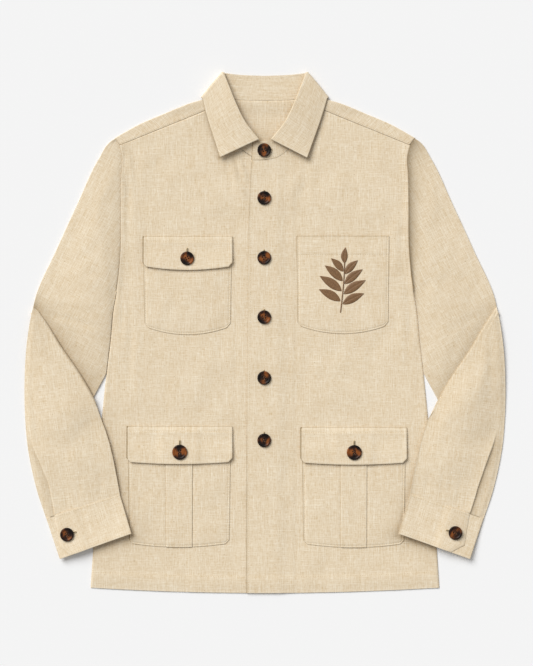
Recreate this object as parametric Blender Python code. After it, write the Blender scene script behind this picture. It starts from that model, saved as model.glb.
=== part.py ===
"""Shirt jacket laid flat, front up, with the forearms folded back over the upper sleeves.

Every piece of cloth is an open surface of rows and columns, worked out from the sizes
below and given its wall by a Solidify modifier. Sizes are in millimetres until a mesh is
made. x runs to the viewer's right, y toward the collar, z up from the surface it lies on.
Tables for one half give x as the distance out from the centre line.
"""

import math

import bpy
import numpy as np

MM = 0.001

# Cloth
PLY = 1.0
TWO_PLY = 1.4
GAP = 0.3
AIR = 0.5  # between front and back

# Hem, sides and armholes, one half: x out from the centre, y
HEM_CENTRE_Y = -390.5
HEM_RISE = 8.0
HEM_X = 261.5
SIDE = ((261.5, -382.5), (253.5, -260.0), (244.5, -128.0), (237.8, -62.0),
        (231.8, -11.0), (227.5, 34.0), (223.0, 60.0))
ARMHOLE = ((223.0, 60.0), (220.5, 77.0), (216.5, 119.0), (215.5, 192.0),
           (215.0, 235.0), (213.5, 264.0), (217.4, 280.5))
SIDE_ROUND = 3.5
SIDE_EDGE_Z = 0.35
BACK_INSET = 3.2
ARMHOLE_RIDGE = 0.8
ARMHOLE_RIDGE_WIDTH = 14.0

# Closure: the lapping edge and the edge under it, x at the neck and at the hem
LAP_EDGE = (-20.5, -26.6)
UNDER_EDGE = (-9.0, -12.5)
LAP_FULL_X = 16.0
LAP_RAMP = 22.0

# Neck and yoke, one half
NECK_EDGE_Y = 257.8
NECKLINE = ((1.0, 257.8), (16.0, 260.6), (36.5, 273.4), (55.6, 289.0), (72.8, 311.2), (83.4, 334.8))
SHOULDER_TIP = (225.0, 291.6)
SHOULDER = ((225.0, 291.6), (190.0, 311.2), (150.0, 328.4), (115.0, 342.6), (85.0, 351.5))
BACK_NECK = ((85.0, 351.5), (45.0, 348.7), (0.0, 346.9))
YOKE_SEAM_Y = 255.0
YOKE_FRONT = ((217.4, 281.0), (83.4, 335.3))
NECK_LIFT = 1.7
NECK_LIFT_FROM = 322.0
NECK_LIFT_OVER = 22.0

# Broad soft folds of the fronts: start x, y, end x, y, half-width, height
FOLDS = (
    (-44.0, 262.0, -30.0, 165.0, 16.0, 0.9),
    (-96.0, 235.0, -70.0, 168.0, 22.0, 0.6),
    (52.0, 255.0, 40.0, 168.0, 15.0, 0.8),
    (120.0, 250.0, 96.0, 165.0, 24.0, 0.6),
    (-196.0, 210.0, -196.0, 80.0, 12.0, 0.8),
    (196.0, 200.0, 198.0, 70.0, 12.0, 0.8),
    (-100.0, -20.0, -95.0, -125.0, 28.0, 0.6),
    (110.0, -25.0, 95.0, -120.0, 30.0, 0.6),
)

# Collar, one half, from the front end to the centre back
# Leaf: roll x, y, z, free edge x, y, z (z of the outer face)
LEAF_FRONT = (
    (8.6, 290.0, 8.0, 66.4, 263.5, 5.6),
    (29.0, 316.5, 8.8, 73.5, 286.0, 6.0),
    (44.5, 349.0, 9.0, 81.0, 309.0, 6.5),
    (52.0, 369.0, 9.0, 87.0, 331.0, 7.0),
    (60.0, 388.7, 9.0, 91.7, 350.2, 7.3),
)
LEAF_BACK = (
    (60.0, 388.7, 0.0, 91.7, 350.2, 0.0),
    (36.0, 387.0, 0.0, 50.0, 346.0, 0.0),
    (0.0, 385.9, 0.0, 0.0, 345.2, 0.0),
)
# Stand: neck seam x, y, z, top edge x, y, z
STAND_LAP = (
    (-20.5, 258.7, 5.2, -18.5, 285.3, 5.5),
    (-6.0, 258.7, 5.2, -6.0, 286.6, 5.6),
    (16.0, 261.8, 5.2, 6.0, 287.5, 5.8),
)
STAND_UNDER = (
    (-12.5, 262.0, 3.3, -12.0, 284.5, 3.3),
    (-5.0, 260.0, 3.3, -5.0, 285.5, 3.3),
    (16.0, 262.0, 3.3, 6.0, 286.5, 3.3),
    (27.5, 269.6, 3.6, 11.0, 291.0, 3.9),
)
STAND_FRONT = (
    (36.0, 274.8, 4.8, 17.0, 297.5, 6.0),
    (55.0, 290.3, 5.0, 31.5, 315.0, 6.5),
    (72.0, 312.3, 5.2, 45.0, 341.0, 6.9),
    (81.0, 334.0, 5.4, 53.5, 367.0, 7.1),
    (83.4, 354.6, 5.4, 57.6, 385.4, 7.1),
)
STAND_BACK = (
    (83.4, 354.6, 1.7, 57.6, 385.4, 1.7),
    (45.0, 349.3, 1.7, 36.0, 384.4, 1.7),
    (0.0, 347.5, 1.7, 0.0, 383.4, 1.7),
)
LEAF_BULGE = 3.0
STAND_BULGE = 2.0

# Sleeves, one side
SLEEVE_SEAM_GAP = 0.6
SLEEVE_HALF = 1.4
SLEEVE_LOFT = 1.0
SLEEVE_OUTER = ((225.6, 292.2), (232.0, 286.0), (250.0, 259.0), (281.0, 193.0),
                (314.0, 121.0), (345.0, 49.0), (349.0, 30.0))
SLEEVE_INNER_END = ((257.5, -98.0), (267.0, -118.0))
TUCK_LINE = ((349.0, 30.0), (267.0, -118.0))
FOLD_LINE = ((347.0, 39.0), (327.0, 11.0), (306.0, -23.0), (287.0, -50.0), (270.0, -77.0),
             (258.0, -99.0), (250.0, -116.0))
FOREARM_OUTER = ((352.0, 28.0), (358.0, -10.0), (361.5, -80.0), (360.0, -131.0), (356.5, -170.0),
                 (350.0, -205.0), (341.5, -240.0), (328.5, -277.5))
FOREARM_INNER = ((246.0, -127.0), (236.5, -153.0), (228.0, -185.0), (222.0, -215.0), (217.5, -241.0))
STACK_REACH = 20.0
STACK_FADE = 50.0
STACK_END = 185.0
STACK_END_FADE = 45.0
BODY_REST_Z = 3.0
BODY_RAMP = (26.0, 24.0)
POCKET_REST_Z = 1.3
POCKET_RAMP = (222.0, 8.0)

# Cuffs: corners of the flat band, seam outer and inner, lower edge outer and inner
CUFF_SEAM = ((328.2, -278.0), (217.4, -241.6))
CUFF_EDGE = ((307.0, -339.0), (199.5, -300.5))
CUFF_UNDERLAP = 0.2
# Lapping end: side sign, across at the seam, across and depth at the cut corner, across at the edge
CUFF_TABS = (
    ("cuff_right", -1, 0.117, 0.06, 0.76, 0.15),
    ("cuff_left", 1, 0.175, 0.13, 0.74, 0.23),
)

# Patch pockets: name, centre x, top y, width at the top, width below, depth at the sides, bow, pleat width
POCKETS = (
    ("chest_pocket_right", -116.5, 134.0, 131.0, 127.0, 125.0, 12.5, 0.0),
    ("chest_pocket_left", 117.0, 145.0, 139.0, 133.0, 134.0, 13.0, 0.0),
    ("hip_pocket_right", -128.5, -151.0, 155.0, 150.0, 165.0, 6.0, 40.5),
    ("hip_pocket_left", 133.0, -152.0, 156.0, 151.0, 164.5, 6.0, 40.0),
)
PLEAT_RISE = 1.2
PLEAT_EDGE = 0.4
# Flaps: name, centre x, top y, width, depth at the sides, cut corner, bow, pleat width
FLAPS = (
    ("chest_flap", -116.0, 144.0, 134.5, 40.0, 5.5, 6.0, 0.0),
    ("hip_flap_right", -128.0, -140.5, 158.5, 48.0, 6.0, 3.5, 40.5),
    ("hip_flap_left", 132.7, -142.0, 159.5, 47.5, 6.0, 3.5, 40.0),
)
FLAP_TOP_RAMP = 9.0

# Buttons: name, x, y, diameter, what it is sewn to
BUTTON_RISE = 3.0
BUTTON_TURN = 16
BUTTON_REACH = 11.0  # from a button's middle to the highest cloth under it
BUTTONS = (
    ("button_front_1", -1.2, 273.0, 20.5, "stand"),
    ("button_front_2", -1.2, 201.5, 20.5, "front"),
    ("button_front_3", -1.2, 112.0, 20.5, "front"),
    ("button_front_4", -1.2, 23.0, 20.5, "front"),
    ("button_front_5", -1.2, -68.0, 20.5, "front"),
    ("button_front_6", -1.2, -161.5, 20.5, "front"),
    ("button_chest", -116.4, 111.0, 20.5, "flap"),
    ("button_hip_right", -127.5, -179.0, 22.5, "pleat_flap"),
    ("button_hip_left", 133.5, -179.5, 22.5, "pleat_flap"),
    ("button_cuff_right", -296.0, -302.0, 20.5, "cuff"),
    ("button_cuff_left", 284.5, -299.5, 20.5, "cuff"),
)


def step(x):
    """Smooth step from 0 at x = 0 to 1 at x = 1."""
    x = np.clip(x, 0.0, 1.0)
    return x * x * (3.0 - 2.0 * x)


def curve(points, fractions, straight=False):
    """Points at fractions of the length of a smooth, or straight-sided, line through points."""
    points = np.asarray(points, float)
    knots = np.concatenate([[0.0], np.cumsum(np.linalg.norm(np.diff(points, axis=0), axis=1))])
    along = np.linspace(0.0, knots[-1], 600)
    if straight:
        dense = np.stack([np.interp(along, knots, column) for column in points.T], axis=1)
    else:
        slope = np.gradient(points, knots, axis=0)
        i = np.clip(np.searchsorted(knots, along, side="right") - 1, 0, len(knots) - 2)
        span = (knots[i + 1] - knots[i])[:, None]
        t = (along - knots[i])[:, None] / span
        dense = ((2 * t**3 - 3 * t**2 + 1) * points[i] + (t**3 - 2 * t**2 + t) * span * slope[i]
                 + (3 * t**2 - 2 * t**3) * points[i + 1] + (t**3 - t**2) * span * slope[i + 1])
    length = np.concatenate([[0.0], np.cumsum(np.linalg.norm(np.diff(dense, axis=0), axis=1))])
    at = np.asarray(fractions, float) * length[-1]
    return np.stack([np.interp(at, length, column) for column in dense.T], axis=1)


def even(count):
    """count fractions from 0 to 1."""
    return np.linspace(0.0, 1.0, count)


def shares(line):
    """Each point's share of the length of a line."""
    length = np.concatenate([[0.0], np.cumsum(np.linalg.norm(np.diff(line, axis=0), axis=1))])
    return length / length[-1]


def patch(low, high, left, right):
    """Coons patch between four boundary lines, rows from low to high."""
    u = 0.5 * (shares(low) + shares(high))[None, :, None]
    v = 0.5 * (shares(left) + shares(right))[:, None, None]
    ruled = (1 - v) * low[None] + v * high[None] + (1 - u) * left[:, None] + u * right[:, None]
    corners = ((1 - v) * ((1 - u) * low[0] + u * low[-1]) + v * ((1 - u) * high[0] + u * high[-1]))
    return ruled - corners


def with_z(plan, z):
    """Plan points with their heights."""
    return np.concatenate([plan, np.broadcast_to(z, plan.shape[:-1])[..., None]], axis=-1)


def mirrored(grid, sign):
    """A half's grid moved to the side that the sign names."""
    return grid * np.array([sign, 1.0, 1.0])


def unit(vector):
    return np.asarray(vector, float) / np.linalg.norm(vector)


SIDE_LINE = curve(SIDE, even(80))
ARMHOLE_LINE = curve(ARMHOLE + (SHOULDER_TIP,), even(80))


def side_x(y):
    """Half-width of the body at y, below the underarm."""
    return np.interp(y, SIDE_LINE[:, 1], SIDE_LINE[:, 0])


def armhole_x(y):
    """Half-width of the body at y, above the underarm."""
    return np.interp(y, ARMHOLE_LINE[:, 1], ARMHOLE_LINE[:, 0])


def hem_y(x):
    """Height of the curved hem at x."""
    return HEM_CENTRE_Y + HEM_RISE * (x / HEM_X) ** 2


def neck_lift(y):
    """Rise of the yoke and fronts over the collar leaf that lies under the neck."""
    return NECK_LIFT * step((y - NECK_LIFT_FROM) / NECK_LIFT_OVER)


def folds(x, y):
    """Sum of the soft ridges in FOLDS: a bell across each line, fading at both ends."""
    total = np.zeros_like(x)
    for x0, y0, x1, y1, half, rise in FOLDS:
        run = np.array([x1 - x0, y1 - y0])
        length = np.linalg.norm(run)
        along = ((x - x0) * run[0] + (y - y0) * run[1]) / length**2
        across = ((x - x0) * run[1] - (y - y0) * run[0]) / length
        fade = step(along / 0.3) * step((1 - along) / 0.3)
        total += rise * fade * np.exp(-((across / half) ** 2))
    return total


def front_z(x, y, lapping):
    """Outer face of a front: two plies and air, the neck's rise, folds, and the lap."""
    z = 2 * PLY + AIR + neck_lift(y) + folds(x, y)
    if lapping:
        z = z + (PLY + GAP) * step((LAP_FULL_X + LAP_RAMP - x) / LAP_RAMP)
    return z


def body_rest_z(x, y):
    """Height on which a forearm lies: the surface, the front, then the hip pocket. x is out from the centre."""
    begin, over = BODY_RAMP
    rest = BODY_REST_Z * step((side_x(y) + begin - x) / over)
    begin, over = POCKET_RAMP
    return rest + POCKET_REST_Z * step((begin - x) / over)


def make_object(name, points, faces, material):
    """Mesh object from points in millimetres."""
    mesh = bpy.data.meshes.new(name)
    mesh.from_pydata((np.asarray(points) * MM).tolist(), [], faces)
    mesh.materials.append(material)
    mesh.update()
    made = bpy.data.objects.new(name, mesh)
    bpy.context.collection.objects.link(made)
    return made


def grid_faces(index, wrap=False):
    """Quads over an array of vertex indices, closed round its columns where it wraps."""
    after = np.roll(index, -1, axis=1) if wrap else index[:, 1:]
    here = index if wrap else index[:, :-1]
    return np.stack([here[:-1], after[:-1], after[1:], here[1:]], axis=-1).reshape(-1, 4)


def add_sheet(name, grids, wall, material, wrap=False, flip=False):
    """Closed solid of even wall behind a surface made of grids that share edge points."""
    points = np.concatenate([grid.reshape(-1, 3) for grid in grids])
    _, first, same = np.unique(np.round(points, 3), axis=0, return_index=True, return_inverse=True)
    same = same.reshape(-1)
    faces, start = [], 0
    for grid in grids:
        count = grid.shape[0] * grid.shape[1]
        index = same[start:start + count].reshape(grid.shape[:2])
        faces.append(grid_faces(index, wrap))
        start += count
    faces = np.concatenate(faces)
    if flip:
        faces = faces[:, ::-1]
    made = make_object(name, points[first], faces.tolist(), material)
    solid = made.modifiers.new("wall", "SOLIDIFY")
    solid.thickness = wall * MM
    solid.offset = -1.0
    solid.use_even_offset = True
    solid.use_rim = True
    return made


def build_back(cloth):
    """Back panel, its underside on the surface it lies on."""
    columns, lower, upper = even(11), even(12), even(6)[1:]
    x_hem = HEM_X - BACK_INSET
    y_hem = hem_y(x_hem) + 1.5
    side = curve(SIDE, lower) - [BACK_INSET, 0.0]
    side[0] = (x_hem, y_hem)
    y_yoke = YOKE_SEAM_Y - GAP
    armhole = curve(((223.0 - BACK_INSET, 60.0),) + ARMHOLE[1:5] + ((armhole_x(y_yoke) - GAP, y_yoke),), upper)
    right = np.concatenate([side, armhole])
    left = right * [-1.0, 1.0]
    x_low = x_hem * (2 * columns - 1)
    low = np.stack([x_low, hem_y(x_low) + 1.5], axis=1)
    high = np.stack([right[-1, 0] * (2 * columns - 1), np.full_like(columns, right[-1, 1])], axis=1)
    add_sheet("back", [with_z(patch(low, high, left, right), 0.0)], PLY, cloth, flip=True)


def build_yoke(cloth):
    """Yoke: flat behind the neck, turned over the shoulder lines and down to the front yoke seams."""
    shoulder = curve(SHOULDER, (0.0, 0.12, 0.3, 0.5, 0.7, 0.86, 1.0))
    inner = curve(BACK_NECK, (0.25, 0.5, 0.75, 1.0))
    half = np.concatenate([shoulder, inner])
    high = np.concatenate([half, half[-2::-1] * [-1.0, 1.0]])
    normal = unit((SHOULDER[0][1] - SHOULDER[-1][1], SHOULDER[-1][0] - SHOULDER[0][0])) * -1.0
    turn_z = 0.5 * (2 * PLY + AIR)
    inset = np.zeros_like(high)
    count = len(shoulder)
    inset[:count] = normal * turn_z
    inset[-count:] = normal * [-1.0, 1.0] * turn_z
    top = high - inset
    rows = even(7)[:, None]
    edge = armhole_x(YOKE_SEAM_Y + rows * (SHOULDER_TIP[1] - YOKE_SEAM_Y))
    narrow = (high[:, 0] - rows * inset[:, 0]) * edge / SHOULDER_TIP[0]
    flat = np.stack([narrow, YOKE_SEAM_Y + rows * (top[:, 1] - YOKE_SEAM_Y)], axis=-1)
    grids = [with_z(flat, neck_lift(flat[..., 1]))]
    seam = curve(YOKE_FRONT, shares(shoulder))
    fold = shoulder - normal * turn_z
    lift = neck_lift(fold[:, 1])
    wrap = [with_z(fold, lift)]
    for angle in np.radians((45.0, 90.0, 135.0)):
        plan = fold + normal * turn_z * math.sin(angle)
        wrap.append(with_z(plan, lift + turn_z * (1 - math.cos(angle))))
    for share in even(4):
        plan = fold + (seam - fold) * share
        wrap.append(with_z(plan, neck_lift(plan[:, 1]) + 2 * turn_z))
    wrap = np.stack(wrap)
    grids += [wrap, mirrored(wrap, -1)[:, ::-1]]
    add_sheet("yoke", grids, PLY, cloth)


def build_front(name, sign, edge, lapping, cloth):
    """Front panel from the closing edge to the side, from the hem to the neckline and yoke seam."""
    edge_rows, neck_rows = even(15), even(6)[1:]
    columns = np.array([0.0, 0.08, 0.165, 0.24, 0.32, 0.41, 0.5, 0.6, 0.7, 0.8, 0.9, 0.955])
    edge_columns = 1 - np.array([3.5, 1.2, 0.25, 0.0]) / 280
    columns = np.concatenate([columns, edge_columns])
    x_neck, x_hem = edge
    hem_left = (x_hem, hem_y(x_hem))
    hem_right = (SIDE[0][0], hem_y(SIDE[0][0]))
    closing = curve((hem_left, (x_neck, NECK_EDGE_Y)), edge_rows)
    neckline = curve(((x_neck, NECK_EDGE_Y),) + NECKLINE, neck_rows)
    left = np.concatenate([closing, neckline])
    outline = SIDE_LINE.tolist() + curve(ARMHOLE, even(60))[1:].tolist()
    right = curve(outline, np.concatenate([even(15) * 0.93, 0.93 + 0.07 * neck_rows]), straight=True)
    right[0] = hem_right
    low = curve((hem_left, hem_right), columns)
    low[:, 1] = hem_y(low[:, 0])
    high = curve((left[-1], right[-1]), columns)
    plan = patch(low, high, left, right)
    x, y = plan[..., 0] * sign, plan[..., 1]
    z = front_z(x, y, lapping)
    away = np.linalg.norm(plan - right[:, None], axis=-1)
    armhole = step((right[:, 1] - 50.0) / 25.0)[:, None]
    ridge = ARMHOLE_RIDGE * (1 - step(away / ARMHOLE_RIDGE_WIDTH))
    inside = np.clip(1 - away / SIDE_ROUND, 0.0, 1.0)
    drop = (z - SIDE_EDGE_Z) * (1 - np.sqrt(1 - inside**2))
    z = z + armhole * ridge - (1 - armhole) * drop
    grid = mirrored(with_z(plan, z), sign)
    add_sheet(name, [grid], PLY, cloth, flip=sign < 0)


def folded_band(front, back, bulge, rows):
    """Half of a band round the neck: front rows, a turn at the side, then back rows to the centre.

    front and back hold both edges of each section; the turn is half an ellipse in section."""
    front, back = np.asarray(front, float), np.asarray(back, float)
    front = np.concatenate([curve(front[:, :3], even(rows[0])), curve(front[:, 3:], even(rows[0]))], axis=1)
    back = np.concatenate([curve(back[:, :3], even(rows[1])), curve(back[:, 3:], even(rows[1]))], axis=1)
    across = front[-1, 3:5] - front[-1, :2]
    outward = unit((-across[1], across[0]))
    outward = outward * math.copysign(1.0, outward[0])
    turn = []
    for angle in np.radians((45.0, 90.0, 135.0)):
        middle = 0.5 * (front[-1] + back[0]) + 0.5 * (front[-1] - back[0]) * math.cos(angle)
        middle[0:2] += outward * bulge * math.sin(angle)
        middle[3:5] += outward * bulge * math.sin(angle)
        turn.append(middle)
    return np.concatenate([front, turn, back])


def band_grid(right, left, across):
    """Rows right half first then the left half mirrored, with columns at fractions across the band."""
    left = left[-2::-1] * np.array([-1.0, 1.0, 1.0, -1.0, 1.0, 1.0])
    rows = np.concatenate([right, left])
    across = np.asarray(across)[None, :, None]
    return (1 - across) * rows[:, None, :3] + across * rows[:, None, 3:]


def build_collar(cloth):
    """Stand and leaf, each one band from front end to front end round the back of the neck."""
    leaf = folded_band(LEAF_FRONT, LEAF_BACK, LEAF_BULGE, (7, 5))
    add_sheet("collar_leaf", [band_grid(leaf, leaf, even(5))], TWO_PLY, cloth)
    lap = folded_band(STAND_LAP + STAND_FRONT, STAND_BACK, STAND_BULGE, (11, 5))
    under = folded_band(STAND_UNDER + STAND_FRONT, STAND_BACK, STAND_BULGE, (12, 5))
    add_sheet("collar_stand", [band_grid(lap, under, even(4))], TWO_PLY, cloth, flip=True)


def sleeve_rows():
    """Sections of a sleeve from armhole to cuff: plan, middle height, half-thickness and facing direction."""
    cap = SLEEVE_HALF / 130.0
    across = np.array([0, 0.29 * cap, cap, 0.05, 0.14, 0.32, 0.5, 0.68, 0.86, 1 - cap, 1 - 0.29 * cap, 1])
    half = np.full(len(across), SLEEVE_HALF)
    swell = np.sin(np.pi * across) ** 0.8
    turn_radius = SLEEVE_HALF + GAP / 2
    tuck = curve(TUCK_LINE, across)
    fold_out = unit((FOLD_LINE[-1][1] - FOLD_LINE[0][1], FOLD_LINE[0][0] - FOLD_LINE[-1][0]))
    tuck_out = unit((TUCK_LINE[0][1] - TUCK_LINE[1][1], TUCK_LINE[1][0] - TUCK_LINE[0][0]))
    fold = curve(FOLD_LINE, across) - fold_out * (2 * SLEEVE_HALF + GAP / 2)
    rows = []

    def add(plan, middle, thick, facing):
        rows.append((plan, np.broadcast_to(middle, across.shape), thick, facing))

    armhole = curve((SHOULDER_TIP,) + ARMHOLE[::-1], across)
    armhole[:, 0] += SLEEVE_SEAM_GAP
    down = even(12)
    outer = curve((armhole[0],) + SLEEVE_OUTER[1:], down)
    body_y = np.linspace(60.0, -62.0, 12)
    beside = np.stack([side_x(body_y) + SLEEVE_SEAM_GAP, body_y], axis=1)
    inner = curve(beside.tolist() + list(SLEEVE_INNER_END), down, straight=True)
    for share, plan in zip(down, patch(armhole, tuck, outer, inner)):
        thick = half + SLEEVE_LOFT * swell * math.sin(math.pi * share)
        add(plan, thick, thick, np.array([0.0, 0.0, 1.0]))
    pivot = 2 * SLEEVE_HALF + GAP / 2
    for angle in np.radians((45.0, 90.0, 135.0)):
        facing = np.append(-tuck_out * math.sin(angle), math.cos(angle))
        plan = tuck + tuck_out * turn_radius * math.sin(angle)
        add(plan, pivot - turn_radius * math.cos(angle), half, facing)
    for share in even(3):
        add(tuck + (fold - tuck) * share, pivot + turn_radius, half, np.array([0.0, 0.0, -1.0]))
    pivot = 4 * SLEEVE_HALF + 1.5 * GAP
    for angle in np.radians((45.0, 90.0, 135.0)):
        facing = np.append(fold_out * math.sin(angle), -math.cos(angle))
        plan = fold + fold_out * turn_radius * math.sin(angle)
        add(plan, pivot - turn_radius * math.cos(angle), half, facing)
    outer = curve((fold[0],) + FOREARM_OUTER, down)
    inner = curve((fold[-1],) + FOREARM_INNER, down)
    wrist = curve((FOREARM_OUTER[-1], FOREARM_INNER[-1]), across)
    for share, plan in zip(down, patch(fold, wrist, outer, inner)):
        thick = half + SLEEVE_LOFT * swell * math.sin(math.pi * share)
        rest = forearm_rest_z(plan, fold[0], fold_out)
        add(plan, rest + thick, thick, np.array([0.0, 0.0, 1.0]))
    return rows


def forearm_rest_z(plan, start, fold_out):
    """Height under the forearm: the folded sleeve near the elbow line, else the surface or the body."""
    depth = -(plan - start) @ fold_out
    along = (plan - start) @ np.array([fold_out[1], -fold_out[0]]) * -1.0
    stack = 4 * SLEEVE_HALF + 2 * GAP
    stack = stack * (1 - step((depth - STACK_REACH) / STACK_FADE))
    stack = stack * (1 - step((along - STACK_END) / STACK_END_FADE))
    return np.maximum(stack, body_rest_z(plan[:, 0], plan[:, 1]))


def build_sleeves(cloth):
    """Each sleeve is one flattened tube: its sections run round the face, an edge, the underside, an edge."""
    face = list(range(2, 10))
    column = np.array(face + [10, 11, 10] + face[::-1] + [1, 0, 1])
    side = np.array([1.0] * 8 + [0.7, 0.0, -0.7] + [-1.0] * 8 + [-0.7, 0.0, 0.7])
    grid = []
    for plan, middle, thick, facing in sleeve_rows():
        centre = with_z(plan, middle)[column]
        grid.append(centre + facing * (thick[column] * side)[:, None])
    grid = np.stack(grid)
    for name, sign in (("sleeve_right", -1), ("sleeve_left", 1)):
        add_sheet(name, [mirrored(grid, sign)], PLY, cloth, wrap=True, flip=sign < 0)


def build_cuffs(cloth):
    """Each cuff is one band wound round the wrist, from the end under the lap to the lapping end."""
    depth = even(6)
    for name, sign, at_seam, at_corner, corner, at_edge in CUFF_TABS:
        def section(across, level):
            """Points down the cuff at a share across it, level plies above what it lies on."""
            across = np.broadcast_to(across, depth.shape)[:, None]
            seam = np.array(CUFF_SEAM[0]) * (1 - across) + np.array(CUFF_SEAM[1]) * across
            edge = np.array(CUFF_EDGE[0]) * (1 - across) + np.array(CUFF_EDGE[1]) * across
            plan = seam + (edge - seam) * depth[:, None]
            return with_z(plan, body_rest_z(plan[:, 0], plan[:, 1]) + level)

        high = 2 * TWO_PLY + GAP
        top = 3 * TWO_PLY + 2 * GAP
        rows = [section(at, high) for at in (CUFF_UNDERLAP + at_seam, 0.12, 0.02)]
        rows += [section(at, z * high) for at, z in ((0.006, 0.85), (0.0, 0.5), (0.006, 0.15))]
        rows += [section(at, 0.0) for at in (0.02, 0.15, 0.3, 0.45, 0.6, 0.75, 0.88, 0.98)]
        rows += [section(at, z * high) for at, z in ((0.994, 0.15), (1.0, 0.5), (0.994, 0.85))]
        lap_end = CUFF_UNDERLAP + at_seam
        for at in (0.98, 0.88, 0.75, 0.6, lap_end + 0.12, lap_end + 0.02):
            rise = (top - high) * (1 - step((at - lap_end - 0.02) / 0.14))
            rows.append(section(at, high + rise))
        end = np.interp(depth, (0.0, corner, 1.0), (at_seam, at_corner, at_edge))
        rows.append(section(0.5 * (end + lap_end), top))
        rows.append(section(end, top))
        add_sheet(name, [mirrored(np.stack(rows), sign)], TWO_PLY, cloth, flip=sign < 0)


def build_pockets(cloth):
    """Patch pockets on the fronts, made from the fronts' heights moved out. A box pleat is a raised strip."""
    for name, x_mid, y_top, w_top, w_low, drop, bow, pleat in POCKETS:
        columns = even(9)
        if pleat:
            reach = np.array([pleat / 2 + PLEAT_EDGE, pleat / 2 - PLEAT_EDGE]) / w_top
            columns = np.sort(np.concatenate([even(7), 0.5 - reach, 0.5 + reach]))
        rows = even(8)[:, None]
        width = w_top + (w_low - w_top) * rows
        x = x_mid + (columns[None] - 0.5) * width
        y = y_top - rows * (drop + bow * (1 - (2 * columns[None] - 1) ** 2))
        raised = np.abs(columns - 0.5) * w_top < pleat / 2
        z = front_z(x, y, x_mid > 0) + GAP + PLY + PLEAT_RISE * raised
        add_sheet(name, [np.stack([x, y, z], axis=-1)], PLY, cloth, flip=True)


def flap_lift(x, y_below_top, x_mid, pleat):
    """Outer face of a flap above its front: sewn down at the top, over the pocket, over a pleat below."""
    lift = GAP + TWO_PLY + (GAP + PLY) * step(y_below_top / FLAP_TOP_RAMP)
    if pleat:
        over = step((pleat / 2 + 16.0 - np.abs(x - x_mid)) / 12.0)
        lift = lift + PLEAT_RISE * over * step(y_below_top / FLAP_TOP_RAMP)
    return lift


def build_flaps(cloth):
    """Flaps over the pockets, lower corners cut off."""
    for name, x_mid, y_top, width, drop, corner, bow, pleat in FLAPS:
        cut = corner / width
        columns = np.sort(np.concatenate([even(9), [cut, 1 - cut]]))
        rows = np.array([0.0, FLAP_TOP_RAMP / drop, 0.45, 0.7, 1.0])[:, None]
        lower = drop + corner + bow * (1 - (2 * columns - 1) ** 2)
        lower = np.where((columns < 0.5 * cut) | (columns > 1 - 0.5 * cut), drop, lower)
        x = x_mid + (columns[None] - 0.5) * width + 0 * rows
        below = rows * lower[None]
        z = front_z(x, y_top - below, x_mid > 0) + flap_lift(x, below, x_mid, pleat)
        add_sheet(name, [np.stack([x, y_top - below, z], axis=-1)], TWO_PLY, cloth, flip=True)


def button_seat(x, y, on):
    """Height of the cloth that a button is sewn to."""
    x, y = np.array(float(x)), np.array(float(y))
    if on == "stand":
        return STAND_LAP[1][5]
    if on == "front":
        return front_z(x, y, True)
    if on == "cuff":
        return body_rest_z(np.abs(x) - BUTTON_REACH, y) + 3 * TWO_PLY + 2 * GAP
    lift = flap_lift(x, 40.0, x, 40.0 if on == "pleat_flap" else 0.0)
    return front_z(x, y, x > 0) + lift


def build_buttons(horn):
    """Turned buttons: a rounded rim round a dished middle."""
    turn = 2 * math.pi * np.arange(BUTTON_TURN) / BUTTON_TURN
    circle = np.stack([np.cos(turn), np.sin(turn)], axis=1)
    for name, x, y, diameter, on in BUTTONS:
        r = diameter / 2
        seat = float(button_seat(x, y, on)) + GAP
        profile = ((r - 1.0, 0.0), (r, 0.9), (r, BUTTON_RISE - 1.0), (r - 1.0, BUTTON_RISE),
                   (r - 2.2, BUTTON_RISE), (r - 3.4, BUTTON_RISE - 0.8))
        rings = [with_z(np.array([x, y]) + circle * radius, seat + z) for radius, z in profile]
        index = np.arange(len(profile) * BUTTON_TURN).reshape(len(profile), BUTTON_TURN)
        faces = grid_faces(index, wrap=True).tolist()
        faces += [index[0, ::-1].tolist(), index[-1].tolist()]
        make_object(name, np.concatenate(rings), faces, horn)


def material(name, colour, roughness):
    made = bpy.data.materials.new(name)
    made.use_nodes = True
    shader = made.node_tree.nodes["Principled BSDF"]
    shader.inputs["Base Color"].default_value = (*colour, 1.0)
    shader.inputs["Roughness"].default_value = roughness
    return made


def main():
    for old in list(bpy.data.objects):
        bpy.data.objects.remove(old)
    cloth = material("linen_cloth", (0.77, 0.66, 0.48), 0.9)
    horn = material("horn", (0.09, 0.045, 0.02), 0.3)
    build_back(cloth)
    build_yoke(cloth)
    build_front("front_right", -1, UNDER_EDGE, False, cloth)
    build_front("front_left", 1, LAP_EDGE, True, cloth)
    build_collar(cloth)
    build_sleeves(cloth)
    build_cuffs(cloth)
    build_pockets(cloth)
    build_flaps(cloth)
    build_buttons(horn)


main()
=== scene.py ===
"""Shirt jacket of washed linen laid flat, front up, as an add-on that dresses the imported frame.

Every panel is a numpy surface of rows and columns between its cut edges, in millimetres until
the mesh is made, with a Solidify wall behind it. x runs to the viewer's right, y toward the
collar, z up from the surface the jacket lies on. Tables for one half give x out from the centre.
"""

import math

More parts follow.
